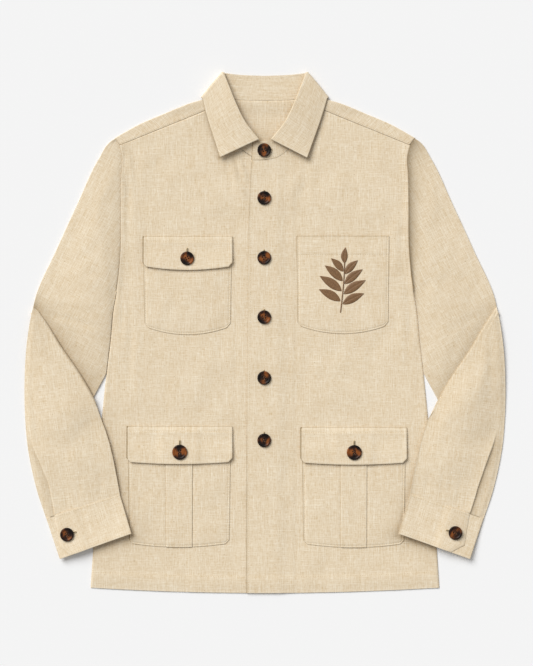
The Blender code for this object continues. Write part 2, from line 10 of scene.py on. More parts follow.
import bpy
import numpy as np
from bpy.props import FloatProperty, FloatVectorProperty, PointerProperty, StringProperty
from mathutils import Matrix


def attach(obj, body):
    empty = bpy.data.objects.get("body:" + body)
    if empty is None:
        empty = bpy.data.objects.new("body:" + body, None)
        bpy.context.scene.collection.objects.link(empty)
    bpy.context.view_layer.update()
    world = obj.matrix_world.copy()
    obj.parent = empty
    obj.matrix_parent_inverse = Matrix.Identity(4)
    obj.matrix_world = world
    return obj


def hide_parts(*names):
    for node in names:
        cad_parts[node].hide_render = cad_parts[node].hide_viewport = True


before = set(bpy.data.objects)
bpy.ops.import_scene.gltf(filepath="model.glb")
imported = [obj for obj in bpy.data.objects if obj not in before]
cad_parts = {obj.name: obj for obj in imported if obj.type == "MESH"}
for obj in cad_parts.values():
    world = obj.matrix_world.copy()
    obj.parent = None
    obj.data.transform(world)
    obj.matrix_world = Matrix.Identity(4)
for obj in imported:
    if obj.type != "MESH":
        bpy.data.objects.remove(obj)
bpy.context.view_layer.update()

bl_info = {
    "name": "Linen Shirt Jacket",
    "version": (1, 0, 0),
    "blender": (4, 5, 0),
    "location": "3D View > Sidebar > Jacket",
    "description": "Sews a flat-laid linen shirt jacket, piece by piece, round its packed frame",
    "category": "Add Mesh",
}

MM = 0.001
UP = np.array([0.0, 0.0, 1.0])

# Cloth: walls in the scene are a little thinner than the solids they stand for
PLY = 1.0
TWO_PLY = 1.4
GAP = 0.3
AIR = 0.5
WALL = 0.8
TWO_WALL = 1.2

# Seed of the slack in each kind of piece
SEEDS = {"front": 3, "back": 11, "yoke": 17, "leaf": 23, "stand": 29, "upper sleeve": 31, "forearm": 41,
         "cuff": 51, "pocket": 61, "flap": 71}

# Hem, sides and armholes, one half: x out from the centre, y
HEM_CENTRE_Y = -390.5
HEM_RISE = 8.0
HEM_X = 261.5
SIDE = ((261.5, -382.5), (253.5, -260.0), (244.5, -128.0), (237.8, -62.0),
        (231.8, -11.0), (227.5, 34.0), (223.0, 60.0))
ARMHOLE = ((223.0, 60.0), (220.5, 77.0), (216.5, 119.0), (215.5, 192.0),
           (215.0, 235.0), (213.5, 264.0), (217.4, 280.5))
SIDE_ROUND = 3.5
SIDE_EDGE_Z = 0.35
BACK_INSET = 3.2
BACK_HEM_UP = 1.5
ARMHOLE_RIDGE = 1.1
ARMHOLE_RIDGE_WIDTH = 14.0

# Closure: the lapping edge and the edge under it, x at the neck and at the hem
LAP_EDGE = (-20.5, -28.4, ((-28.3, -280.0), (-26.0, 20.0), (-23.2, 199.0)))
UNDER_EDGE = (-9.0, -12.5, ())
LAP_FULL_X = 16.0
LAP_RAMP = 22.0
FACING_X = 46.0
FACING_PLY = 0.4

# Fronts: about how wide and long, and what share of the side outline lies beside the closing edge
# and beside the neckline
FRONT_WIDE = 280.0
FRONT_LONG = 640.0
CLOSING_SHARE = 0.93
NECKLINE_SHARE = 0.07

# Neck and yoke, one half
NECK_EDGE_Y = 258.5
NECKLINE = ((1.0, 258.5), (16.0, 261.5), (36.1, 274.5), (55.1, 290.0), (72.2, 312.0), (83.4, 334.8))
SHOULDER_TIP = (225.0, 291.6)
SHOULDER = ((225.0, 291.6), (190.0, 311.2), (150.0, 328.4), (115.0, 342.6), (85.0, 351.5))
BACK_NECK = ((85.0, 351.5), (45.0, 349.1), (0.0, 347.3))
YOKE_SEAM_Y = 255.0
YOKE_FRONT = ((217.4, 281.0), (83.4, 335.3))
NECK_LIFT = 1.7
NECK_LIFT_FROM = 322.0
NECK_LIFT_OVER = 22.0

# Broad soft folds of the fronts: start x, y, end x, y, half-width, height
FOLDS = (
    (-44.0, 262.0, -30.0, 165.0, 16.0, 0.9),
    (-96.0, 235.0, -70.0, 168.0, 22.0, 0.6),
    (52.0, 255.0, 40.0, 168.0, 15.0, 0.8),
    (120.0, 250.0, 96.0, 165.0, 24.0, 0.6),
    (-196.0, 210.0, -196.0, 80.0, 12.0, 0.8),
    (196.0, 200.0, 198.0, 70.0, 12.0, 0.8),
    (-100.0, -20.0, -95.0, -125.0, 28.0, 0.6),
    (110.0, -25.0, 95.0, -120.0, 30.0, 0.6),
)
# Smaller creases of the fronts: start x, y, end x, y, half-width, height
FRONT_CREASES = (
    (-212.0, 280.0, -209.0, 212.0, 3.0, -0.80),
    (-203.0, 274.0, -200.0, 224.0, 3.4, 0.50),
    (-50.0, 266.0, -31.0, 214.0, 3.4, -1.00),
    (-40.0, 262.0, -27.0, 222.0, 2.8, 0.60),
    (-62.0, 258.0, -44.0, 205.0, 5.0, -0.60),
    (-165.0, 296.0, -162.0, 236.0, 8.0, -0.50),
    (-180.0, 285.0, -184.0, 205.0, 7.0, 0.35),
    (-207.0, 262.0, -206.0, 120.0, 4.0, -0.40),
    (-197.0, 245.0, -199.0, 150.0, 4.5, 0.25),
    (-214.0, 168.0, -215.0, -40.0, 4.0, -0.50),
    (-203.0, 120.0, -204.0, -110.0, 5.0, -0.45),
    (-193.0, 30.0, -190.0, -130.0, 6.0, 0.30),
    (-224.0, 40.0, -231.0, -120.0, 4.5, -0.35),
    (-60.0, 40.0, -66.0, -90.0, 9.0, -0.35),
    (-43.5, 240.0, -44.5, -330.0, 2.6, -0.22),
    (62.0, 270.0, 52.0, 190.0, 6.0, -0.40),
    (74.0, 262.0, 66.0, 176.0, 6.0, 0.30),
    (140.0, 300.0, 128.0, 200.0, 12.0, -0.35),
    (172.0, 285.0, 178.0, 190.0, 10.0, 0.30),
    (207.0, 262.0, 206.0, 110.0, 4.0, -0.35),
    (213.0, 150.0, 218.0, -60.0, 4.5, -0.45),
    (203.0, 90.0, 208.0, -80.0, 6.0, 0.28),
    (227.0, 20.0, 236.0, -120.0, 5.0, -0.35),
    (60.0, -60.0, 190.0, -84.0, 6.0, -0.22),
    (70.0, 20.0, 62.0, -110.0, 10.0, -0.30),
    (160.0, 10.0, 172.0, -120.0, 12.0, -0.32),
    (-160.0, 20.0, -150.0, -120.0, 11.0, -0.30),
    (-120.0, -330.0, -118.0, -385.0, 7.0, -0.25),
    (90.0, -330.0, 93.0, -386.0, 7.0, -0.25),
    (200.0, -320.0, 204.0, -380.0, 8.0, -0.25),
)
# Creases of the back, from the shoulder blades down
BACK_CREASES = (
    (-90.0, 240.0, -70.0, -60.0, 14.0, -0.30),
    (95.0, 235.0, 74.0, -90.0, 14.0, -0.30),
    (-20.0, 180.0, -12.0, -260.0, 18.0, -0.25),
    (-190.0, 120.0, -150.0, -40.0, 9.0, -0.30),
    (185.0, 115.0, 150.0, -50.0, 9.0, -0.30),
    (-180.0, -120.0, 60.0, -150.0, 12.0, -0.25),
    (170.0, -230.0, -40.0, -262.0, 12.0, -0.22),
)
# Creases of the sleeves by side sign: x out from the centre
SLEEVE_CREASES = {
    -1: (
        (345.0, 36.0, 238.0, 4.0, 5.0, -0.75),
        (338.0, 54.0, 250.0, 40.0, 8.0, 0.50),
        (300.0, 30.0, 262.0, -52.0, 7.0, -0.50),
        (268.0, 186.0, 322.0, 62.0, 10.0, -0.35),
        (228.0, 150.0, 300.0, 92.0, 9.0, -0.40),
        (226.0, 240.0, 262.0, 150.0, 7.0, 0.40),
        (226.0, 70.0, 276.0, 96.0, 8.0, -0.40),
        (352.0, -40.0, 338.0, -185.0, 6.0, -0.45),
        (330.0, 4.0, 300.0, -120.0, 9.0, -0.35),
        (262.0, -122.0, 300.0, -196.0, 8.0, -0.35),
        (300.0, -150.0, 262.0, -250.0, 9.0, 0.35),
        (280.0, -262.0, 276.0, -205.0, 3.5, -0.30),
        (296.0, -268.0, 300.0, -220.0, 3.0, -0.30),
        (244.0, -250.0, 250.0, -200.0, 3.5, -0.30),
    ),
    1: (
        (340.0, 42.0, 262.0, -10.0, 8.0, -0.45),
        (346.0, 46.0, 318.0, 92.0, 7.0, 0.45),
        (318.0, 30.0, 262.0, -60.0, 8.0, -0.40),
        (270.0, 190.0, 318.0, 70.0, 10.0, 0.35),
        (230.0, 190.0, 244.0, 40.0, 7.0, -0.35),
        (226.0, 60.0, 286.0, 84.0, 9.0, -0.40),
        (246.0, 232.0, 262.0, 170.0, 6.0, 0.30),
        (332.0, 8.0, 318.0, -110.0, 7.0, 0.60),
        (342.0, -6.0, 336.0, -120.0, 6.0, -0.40),
        (300.0, -40.0, 268.0, -160.0, 10.0, -0.35),
        (278.0, -100.0, 246.0, -210.0, 9.0, 0.40),
        (262.0, -255.0, 270.0, -196.0, 3.5, -0.30),
        (286.0, -262.0, 296.0, -205.0, 3.5, -0.30),
        (240.0, -250.0, 244.0, -205.0, 3.0, -0.30),
    ),
}
# Sleeve vents by side sign: length, height of the lap, depth and reach of its shade, lit edge
SLEEVE_VENTS = {-1: (140.0, 1.4, 0.50, 7.0, 0.6), 1: (148.0, 2.6, 0.85, 6.0, 0.0)}
# Way of a vent by side sign: share of its length from the wrist, share across the sleeve
VENT_WAY = {
    -1: ((0.0, 0.13, 0.28, 0.43, 0.55, 0.71, 0.84, 1.0),
         (0.112, 0.145, 0.16, 0.165, 0.14, 0.103, 0.065, 0.05)),
    1: ((0.0, 0.34, 0.54, 0.69, 0.87, 1.0), (0.19, 0.193, 0.17, 0.144, 0.10, 0.07)),
}

# Collar, from the front end to the centre back, x out from the centre
# Leaf, each side's front rows then the back rows they share: roll x, y, z, free edge x, y, z
# (z of the outer face)
LEAF_LEFT = (
    (8.6, 288.8, 11.5, 63.2, 261.0, 10.6),
    (29.8, 316.0, 13.0, 72.0, 285.6, 8.2),
    (45.7, 349.0, 13.0, 80.4, 309.0, 7.4),
    (53.5, 369.0, 12.0, 87.6, 331.0, 7.0),
    (61.6, 388.9, 10.5, 93.3, 350.2, 6.9),
)
LEAF_RIGHT = (
    (8.6, 288.8, 11.5, 67.6, 261.6, 11.0),
    (29.8, 316.0, 13.0, 75.2, 285.6, 8.8),
    (45.7, 349.0, 13.0, 83.0, 309.0, 8.0),
    (53.5, 369.0, 12.0, 89.2, 331.0, 7.6),
    (61.6, 388.9, 10.5, 93.9, 350.2, 7.5),
)
LEAF_BACK = (
    (61.6, 388.9, 0.1, 93.6, 350.2, 0.1),
    (36.0, 384.4, 0.1, 50.0, 346.0, 0.1),
    (0.0, 382.6, 0.1, 0.0, 345.2, 0.1),
)
# Stand, each side's lapping end, then the front and back rows they share: neck seam, top edge
STAND_LAP = (
    (-20.5, 258.7, 4.6, -18.5, 285.3, 5.5),
    (-6.0, 258.7, 4.6, -6.0, 286.6, 5.6),
    (16.0, 261.8, 4.3, 6.0, 287.5, 5.8),
)
STAND_UNDER = (
    (-12.5, 262.0, 3.3, -12.0, 284.5, 3.3),
    (-5.0, 260.0, 3.3, -5.0, 285.5, 3.3),
    (16.0, 262.0, 3.3, 6.0, 286.5, 3.3),
    (27.5, 269.6, 3.1, 11.0, 291.0, 3.9),
)
STAND_FRONT = (
    (36.0, 274.8, 3.4, 17.0, 297.5, 6.0),
    (55.0, 290.3, 5.0, 31.5, 315.0, 6.5),
    (72.0, 312.3, 5.2, 45.0, 341.0, 6.9),
    (81.0, 334.0, 5.4, 53.5, 367.0, 7.1),
    (83.4, 354.6, 5.4, 60.2, 388.8, 7.1),
)
STAND_BACK = (
    (83.4, 354.6, 1.7, 60.2, 388.8, 1.7),
    (45.0, 349.3, 1.7, 38.0, 386.3, 1.7),
    (0.0, 347.5, 1.7, 0.0, 384.7, 1.7),
)
LEAF_BULGE = 3.0
LEAF_TURN = 1.6
LEAF_WIDE = 52.0
STAND_BULGE = 2.0
STAND_WIDE = 30.0

# Lines beside which a painted shadow darkens the cloth: under the forearms, cuffs and collar leaf, inside
# the neck, and painted shade down creases: depth of tone, reach, the line
PAINTED_SHADE_LINES = (
    (0.60, 4.5, ((250.0, -131.0), (213.5, -243.8), (196.5, -303.8), (306.0, -339.8))),
    (0.42, 11.0, ((196.5, -303.8), (306.0, -339.8))),
    (0.48, 14.0, ((-250.0, -131.0), (-213.5, -243.8), (-196.5, -303.8), (-306.0, -339.8))),
    (0.26, 3.0, ((-50.0, 266.0), (-38.0, 236.0), (-28.0, 203.0))),
    (0.24, 2.4, ((-36.0, 262.0), (-26.0, 236.0))),
    (0.12, 2.8, ((-212.0, 279.0), (-209.0, 214.0))),
    (0.10, 2.8, ((-202.0, 274.0), (-199.0, 226.0))),
    (0.50, 4.0, ((63.2, 261.0), (8.6, 288.8))),
    (0.50, 4.0, ((-67.6, 261.6), (-8.6, 288.8))),
    (0.18, 3.0, ((63.2, 261.0), (93.3, 350.2))),
    (0.70, 3.0, ((-67.6, 261.6), (-83.0, 309.0), (-93.9, 350.2))),
    (0.42, 9.0, ((-61.6, 388.9), (-53.5, 369.0), (-45.7, 349.0), (-29.8, 316.0), (-8.6, 288.8))),
    (0.20, 6.0, ((61.6, 388.9), (53.5, 369.0), (45.7, 349.0), (29.8, 316.0), (8.6, 288.8))),
)

# Sleeves, one side
SLEEVE_SEAM_GAP = 0.3
# What shares along the forearm, up to its vent and across it come to
FOREARM_LONG = 300.0
VENT_RUN = 330.0
FOREARM_WIDE = 120.0
# Face of a sleeve beside its armhole seam, by side sign: height at the seam, reach
SLEEVE_CAP = {-1: (-1.9, 8.0), 1: (3.8, 7.0)}
# Shade beside the armhole seam and above the elbow fold, by side sign: depth of tone, reach
CAP_SHADE = {-1: (0.18, 9.0), 1: (0.95, 17.0)}
ELBOW_SHADE = {-1: (0.85, 15.0), 1: (0.50, 12.0)}
# Sink of the elbow fold into what it lies on, by side sign: at its outer end, elsewhere, reach
FOLD_SINK = {-1: (3.6, 0.0, 18.0), 1: (4.4, 4.4, 46.0)}
# By side sign too: power of the swell's sine, fullness of the elbow fold, loft of the upper sleeve,
# painted shade line along the armhole seam on the sleeve, painted tone along the armhole on the front
# (above zero a painted shade line, below zero a painted highlight), painted shade on the elbow fold,
# rise of the forearm's inner edge, painted shade on the cuff's inner end
SWELL_POWER = {-1: 0.9, 1: 1.6}
FOLD_FULL = {-1: 1.0, 1: 0.4}
UPPER_LOFT = {-1: 1.0, 1: 0.6}
CAP_LINE = {-1: 0.0, 1: 0.6}
ARMHOLE_LINE_TONE = {-1: -1.6, 1: 0.6}
FOLD_SHADE = {-1: 0.3, 1: 0.6}
INNER_RISE = {-1: 2.5, 1: 0.8}
CUFF_END_SHADE = {-1: 0.0, 1: 0.7}
FOLD_EASE = 2.0
SLEEVE_HALF = 1.4
SLEEVE_LOFT = 1.0
SLEEVE_SWELL = 1.6
SLEEVE_OUTER = ((225.6, 292.2), (232.0, 286.0), (250.0, 259.0), (281.0, 193.0),
                (314.0, 121.0), (345.0, 49.0), (349.0, 30.0))
SLEEVE_INNER_END = ((257.5, -98.0), (267.0, -118.0))
TUCK_LINE = ((349.0, 30.0), (267.0, -118.0))
FOLD_LINE = ((347.0, 39.0), (327.0, 11.0), (306.0, -23.0), (287.0, -50.0), (270.0, -77.0),
             (258.0, -99.0), (250.0, -116.0))
# Drop of the elbow fold below FOLD_LINE at each of its points, by side sign
FOLD_DROP = {-1: (0.0,) * 7, 1: (1.0, 4.0, 5.5, 6.0, 6.0, 6.0, 5.0)}
FOREARM_OUTER = ((350.0, 26.0), (355.8, -10.0), (360.4, -80.0), (359.4, -131.0), (356.0, -170.0),
                 (349.7, -205.0), (341.0, -240.0), (327.9, -279.2))
FOREARM_INNER = ((246.0, -127.0), (236.5, -153.0), (228.0, -185.0), (222.0, -215.0), (217.0, -242.8))
STACK_REACH = 20.0
STACK_FADE = 95.0
STACK_END = 150.0
STACK_END_FADE = 90.0
BODY_REST_Z = 3.0
BODY_RAMP = (75.0, 72.0)
POCKET_REST_Z = 1.3
POCKET_RAMP = (232.0, 26.0)

# Cuffs: corners of the flat band, seam outer and inner, lower edge outer and inner
CUFF_SEAM = ((328.2, -278.0), (217.4, -241.6))
CUFF_EDGE = ((307.0, -339.0), (199.5, -300.5))
# Width of the face, width on the flat pattern, depth
CUFF_WIDE = 112.0
CUFF_ROUND = 114.0
CUFF_DEEP = 64.0
# Shares of the width: the under end's reach past the lap, where the lap's own columns begin
CUFF_UNDERLAP = 0.2
CUFF_TAB_START = 0.02
CUFF_LIFT = 5.5
CUFF_BUTTON_DEPTH = 0.66
# Rows of a cuff's grid on its upper face
CUFF_TOP_ROWS = 100
# Lapping end: side sign, across at the seam, across and depth at the cut corner, across at the edge
CUFF_TABS = (
    ("cuff_right", -1, 0.117, 0.06, 0.76, 0.15),
    ("cuff_left", 1, 0.195, 0.13, 0.74, 0.273),
)

# Patch pockets: name, centre x, top y, width at the top, width below, depth at the sides, bow, pleat
POCKETS = (
    ("chest_pocket_right", -116.2, 134.0, 133.0, 129.5, 125.0, 12.5, 0.0),
    ("chest_pocket_left", 116.6, 145.0, 139.0, 136.5, 134.0, 13.0, 0.0),
    ("hip_pocket_right", -128.5, -151.0, 155.0, 150.0, 165.0, 6.0, 40.5),
    ("hip_pocket_left", 133.0, -152.0, 156.0, 151.0, 164.5, 6.0, 40.0),
)
PLEAT_RISE = 0.8
POCKET_CORNER = 5.0
POCKET_PUFF = 0.7
MOUTH_HEM = 28.0
# Flaps: name, centre x, top y, width, depth at the sides, cut corner, bow, pleat width
FLAPS = (
    ("chest_flap", -116.0, 144.0, 134.5, 39.0, 5.5, 6.0, 0.0),
    ("hip_flap_right", -128.0, -140.5, 158.5, 47.0, 6.0, 3.5, 40.5),
    ("hip_flap_left", 132.7, -142.0, 159.5, 46.5, 6.0, 3.5, 40.0),
)
# Pocket that each flap covers
FLAP_OVER = {"chest_flap": "chest_pocket_right", "hip_flap_right": "hip_pocket_right",
             "hip_flap_left": "hip_pocket_left"}
FLAP_TOP_RAMP = 9.0
FLAP_STITCH = 7.5

# Buttons: name, x, y, diameter, what it is sewn to, turn of the grain in degrees
BUTTONS = (
    ("button_front_1", -1.2, 273.0, 20.5, "stand", 200.0),
    ("button_front_2", -1.2, 201.5, 20.5, "front", 15.0),
    ("button_front_3", -1.2, 112.0, 20.5, "front", 350.0),
    ("button_front_4", -1.2, 23.0, 20.5, "front", 80.0),
    ("button_front_5", -1.2, -68.0, 20.5, "front", 130.0),
    ("button_front_6", -1.2, -161.5, 20.5, "front", 300.0),
    ("button_chest", -116.4, 111.0, 20.5, "flap", 320.0),
    ("button_hip_right", -127.5, -179.0, 22.5, "pleat_flap", 85.0),
    ("button_hip_left", 133.5, -179.5, 22.5, "pleat_flap", 100.0),
    ("button_cuff_right", -296.0, -302.0, 20.5, "cuff", 60.0),
    ("button_cuff_left", 284.5, -299.5, 20.5, "cuff", 340.0),
)
# Way the amber band runs across each button, in degrees
BUTTON_BANDS = {"button_front_1": 90.0, "button_front_2": 155.0, "button_front_3": 30.0,
                "button_front_4": 120.0, "button_front_5": 75.0, "button_front_6": 165.0,
                "button_chest": 140.0, "button_hip_right": 10.0, "button_hip_left": 175.0,
                "button_cuff_right": 140.0, "button_cuff_left": 50.0}
BUTTON_RISE = 3.0
BUTTON_REACH = 11.0


def step(x):
    """Smooth step from 0 at x = 0 to 1 at x = 1."""
    x = np.clip(x, 0.0, 1.0)
    return x * x * (3.0 - 2.0 * x)


def bell(x, width):
    """Bell curve, 1 at x = 0: e to the minus square of x over the width."""
    return np.exp(-((x / width) ** 2))


def half_turn(degrees):
    """Angles between the two ends of half a circle, degrees apart."""
    return np.radians(np.arange(degrees, 180.0, degrees))


def even(count):
    """count fractions from 0 to 1."""
    return np.linspace(0.0, 1.0, count)


def unit(vector):
    """The vector over its length."""
    return np.asarray(vector, float) / np.linalg.norm(vector)


def level_aside(run):
    """Level unit vectors square to each run."""
    aside = np.stack([-run[:, 1], run[:, 0], 0 * run[:, 0]], axis=1)
    return aside / np.maximum(np.linalg.norm(aside, axis=1), 1e-6)[:, None]


def arc_length(line):
    """Distance along a line at each of its points."""
    return np.concatenate([[0.0], np.cumsum(np.linalg.norm(np.diff(line, axis=0), axis=1))])


def shares(line):
    """Each point's share of the length of a line."""
    length = arc_length(line)
    return length / length[-1]


def curve(points, fractions, straight=False):
    """Points at fractions of the length of a cubic Hermite, or straight-sided, line through points."""
    points = np.asarray(points, float)
    hole_shade_cords = arc_length(points)
    along = np.linspace(0.0, hole_shade_cords[-1], 1200)
    if straight:
        dense = np.stack([np.interp(along, hole_shade_cords, column) for column in points.T], axis=1)
    else:
        slope = np.gradient(points, hole_shade_cords, axis=0)
        i = np.clip(np.searchsorted(hole_shade_cords, along, side="right") - 1, 0, len(hole_shade_cords) - 2)
        span = (hole_shade_cords[i + 1] - hole_shade_cords[i])[:, None]
        t = (along - hole_shade_cords[i])[:, None] / span
        dense = ((2 * t**3 - 3 * t**2 + 1) * points[i] + (t**3 - 2 * t**2 + t) * span * slope[i]
                 + (3 * t**2 - 2 * t**3) * points[i + 1] + (t**3 - t**2) * span * slope[i + 1])
    length = arc_length(dense)
    at = np.asarray(fractions, float) * length[-1]
    return np.stack([np.interp(at, length, column) for column in dense.T], axis=1)


def patch(low, high, left, right):
    """Coons patch between four boundary lines, rows from low to high."""
    u = 0.5 * (shares(low) + shares(high))[None, :, None]
    v = 0.5 * (shares(left) + shares(right))[:, None, None]
    ruled = (1 - v) * low[None] + v * high[None] + (1 - u) * left[:, None] + u * right[:, None]
    corners = ((1 - v) * ((1 - u) * low[0] + u * low[-1]) + v * ((1 - u) * high[0] + u * high[-1]))
    return ruled - corners


def with_z(plan, z):
    """Plan points with their heights."""
    return np.concatenate([plan, np.broadcast_to(z, plan.shape[:-1])[..., None]], axis=-1)


def mirrored(grid, sign):
    """A half's grid moved to the side that the sign names."""
    return grid * np.array([sign, 1.0, 1.0])


EDGE_STEPS = np.array([0.0, 0.12, 0.35, 0.8])  # rows set close together where an edge rolls over
EDGE_ROLL = 0.8
EDGE_DROP = 0.4


def edged(count, width, first=True, last=True):
    """count fractions over a width, with the close-set EDGE_STEPS at one or both ends."""
    near = EDGE_STEPS / width
    low = near if first else np.array([0.0])
    high = 1 - near[::-1] if last else np.array([1.0])
    middle = np.linspace(low[-1], high[0], count)[1:-1]
    return np.concatenate([low, middle, high])


def roll(away):
    """Drop of a folded edge: a quarter of an ellipse within EDGE_ROLL of the edge."""
    inside = np.clip(1 - away / EDGE_ROLL, 0.0, 1.0)
    return EDGE_DROP * (1 - np.sqrt(1 - inside**2))


def creases(table, x, y):
    """Sum of soft ridges and troughs: a bell across each line, waving along it, faded at both ends."""
    total = np.zeros_like(x)
    for x0, y0, x1, y1, half, rise in table:
        run = np.array([x1 - x0, y1 - y0])
        length = np.linalg.norm(run)
        along = ((x - x0) * run[0] + (y - y0) * run[1]) / length**2
        across = ((x - x0) * run[1] - (y - y0) * run[0]) / length
        across = across + 0.35 * half * np.sin(5.0 * along + x0) + 0.2 * half * np.sin(13.0 * along + y0)
        fade = step(along / 0.3) * step((1 - along) / 0.3)
        total += rise * fade * bell(across, half)
    return total


def painted_shade_tone(x, y):
    """Painted shadow and shade beside the lines of the shade-line table: each dies away with the distance to
    its line.
    """
    total = np.zeros(np.shape(x))
    for depth, reach, line in PAINTED_SHADE_LINES:
        nearest = np.full(np.shape(x), 1e6)
        for (x0, y0), (x1, y1) in zip(line[:-1], line[1:]):
            run_x, run_y = x1 - x0, y1 - y0
            along = np.clip(((x - x0) * run_x + (y - y0) * run_y) / (run_x**2 + run_y**2), 0.0, 1.0)
            nearest = np.minimum(nearest, np.hypot(x - x0 - along * run_x, y - y0 - along * run_y))
        total += depth * np.exp(-nearest / reach)
    return total


def ripple(x, y, seed, height=1.0):
    """Slack of washed cloth: waves of 18 to 110 mm in all directions, bent by two slow sines."""
    draw = np.random.default_rng(seed)
    bent_x = x + 9.0 * np.sin(y / 41.0 + seed)
    bent_y = y + 9.0 * np.sin(x / 37.0 + 2.0 * seed)
    total = np.zeros_like(x)
    for wave in np.geomspace(18.0, 110.0, 16):
        turn, phase = draw.uniform(0.0, 2 * math.pi, 2)
        push = draw.uniform(0.5, 1.0)
        total += push * 0.0011 * wave * np.sin(
            2 * math.pi * (bent_x * math.cos(turn) + bent_y * math.sin(turn)) / wave + phase)
    return height * total


SIDE_LINE = curve(SIDE, even(160))
ARMHOLE_LINE = curve(ARMHOLE + (SHOULDER_TIP,), even(160))


def side_x(y):
    """Half-width of the body at y, below the underarm."""
    return np.interp(y, SIDE_LINE[:, 1], SIDE_LINE[:, 0])


def armhole_x(y):
    """Half-width of the body at y, above the underarm."""
    return np.interp(y, ARMHOLE_LINE[:, 1], ARMHOLE_LINE[:, 0])


def hem_y(x):
    """Height of the curved hem at x."""
    return HEM_CENTRE_Y + HEM_RISE * (x / HEM_X) ** 2


def neck_lift(y):
    """Rise of the yoke and fronts over the collar leaf that lies under the neck."""
    return NECK_LIFT * step((y - NECK_LIFT_FROM) / NECK_LIFT_OVER)


def front_z(x, y, lapping):
    """Outer face of a front: two plies and air, the neck's rise, folds, creases, slack, and the lap."""
    z = 2 * PLY + AIR + neck_lift(y) + creases(FOLDS, x, y)
    z = z + creases(FRONT_CREASES, x, y) + ripple(x, y, SEEDS["front"])
    if lapping:
        z = z + (PLY + GAP) * step((LAP_FULL_X + LAP_RAMP - x) / LAP_RAMP)
        z = z + FACING_PLY * step((FACING_X - x) / 5.0)
    return z


def body_rest_z(x, y):
    """Height on which a forearm lies: the surface, the front, then the hip pocket, x out from the centre."""
    begin, over = BODY_RAMP
    rest = BODY_REST_Z * step((side_x(y) + begin - x) / over)
    begin, over = POCKET_RAMP
    return rest + POCKET_REST_Z * step((begin - x) / over)


def grid_quads(shape, start):
    """Corner numbers of the quads over one grid of rows and columns."""
    index = start + np.arange(shape[0] * shape[1]).reshape(shape)
    return np.stack([index[:-1, :-1], index[:-1, 1:], index[1:, 1:], index[1:, :-1]], axis=-1).reshape(-1, 4)


def joined(grids):
    """Points of several grids, one after the other, and the corner numbers of all their quads."""
    points = np.concatenate([grid.reshape(-1, 3) for grid in grids])
    starts = np.cumsum([0] + [grid.shape[0] * grid.shape[1] for grid in grids])
    return points, np.concatenate([grid_quads(grid.shape[:2], start) for grid, start in zip(grids, starts)])


def link_mesh(mesh, material):
    """Object at the origin for a mesh in one material."""
    mesh.materials.append(material)
    mesh.update()
    made = bpy.data.objects.new(mesh.name, mesh)
    bpy.context.scene.collection.objects.link(made)
    return made


def merged(points):
    """Which points are the first at their place, and for each point the number of its first."""
    _, first, same = np.unique(np.round(points, 3), axis=0, return_index=True, return_inverse=True)
    return first, same.reshape(-1)


def mesh_object(name, points, quads, material, flat, wear_and_shading):
    """Object from points in millimetres, equal points merged, the flat pattern as UV map, edge wear and
    painted shading per point.
    """
    first, same = merged(points)
    mesh = bpy.data.meshes.new(name)
    mesh.from_pydata((points[first] * MM).tolist(), [], same[quads].tolist())
    layer = mesh.uv_layers.new(name="weave")
    layer.data.foreach_set("uv", (flat[quads.ravel()] * MM).astype(np.float32).ravel())
    layer = mesh.attributes.new("wear_and_shading", "FLOAT", "POINT")
    layer.data.foreach_set("value", wear_and_shading[first].astype(np.float32))
    mesh.polygons.foreach_set("use_smooth", np.ones(len(mesh.polygons), bool))
    return link_mesh(mesh, material)


def sew_sheet(name, grids, flats, wall, flip=False, wear_and_shading_parts=None, cut=None):
    """Sheet of cloth: surfaces that share edge points, walled behind.

    flats hold each point's place on the flat pattern; the cut's size is their extent unless it is given.
    The per-point tone values go from 1, a free edge worn pale and partly a painted highlight, to -1, painted
    shade along a seam, a crease or under an overlapping part."""
    points, quads = joined(grids)
    flat = np.concatenate([part.reshape(-1, 2) for part in flats])
    wear_and_shading = np.zeros(len(points))
    if wear_and_shading_parts is not None:
        wear_and_shading = np.concatenate([part.reshape(-1) for part in wear_and_shading_parts])
    if flip:
        quads = quads[:, ::-1]
    made = mesh_object(name, points, quads, woven_linen(), flat, wear_and_shading)
    solid = made.modifiers.new("wall", "SOLIDIFY")
    solid.thickness = wall * MM
    solid.offset = -1.0
    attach(made, "root")
    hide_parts(name.replace("_cloth", ""))
    corners = points[quads]
    normals = np.cross(corners[:, 2] - corners[:, 0], corners[:, 3] - corners[:, 1])
    area = 0.5 * np.linalg.norm(normals, axis=1).sum()
    width, length = np.ptp(flat, axis=0) if cut is None else cut
    area = min(area, width * length)


trimmings = {}


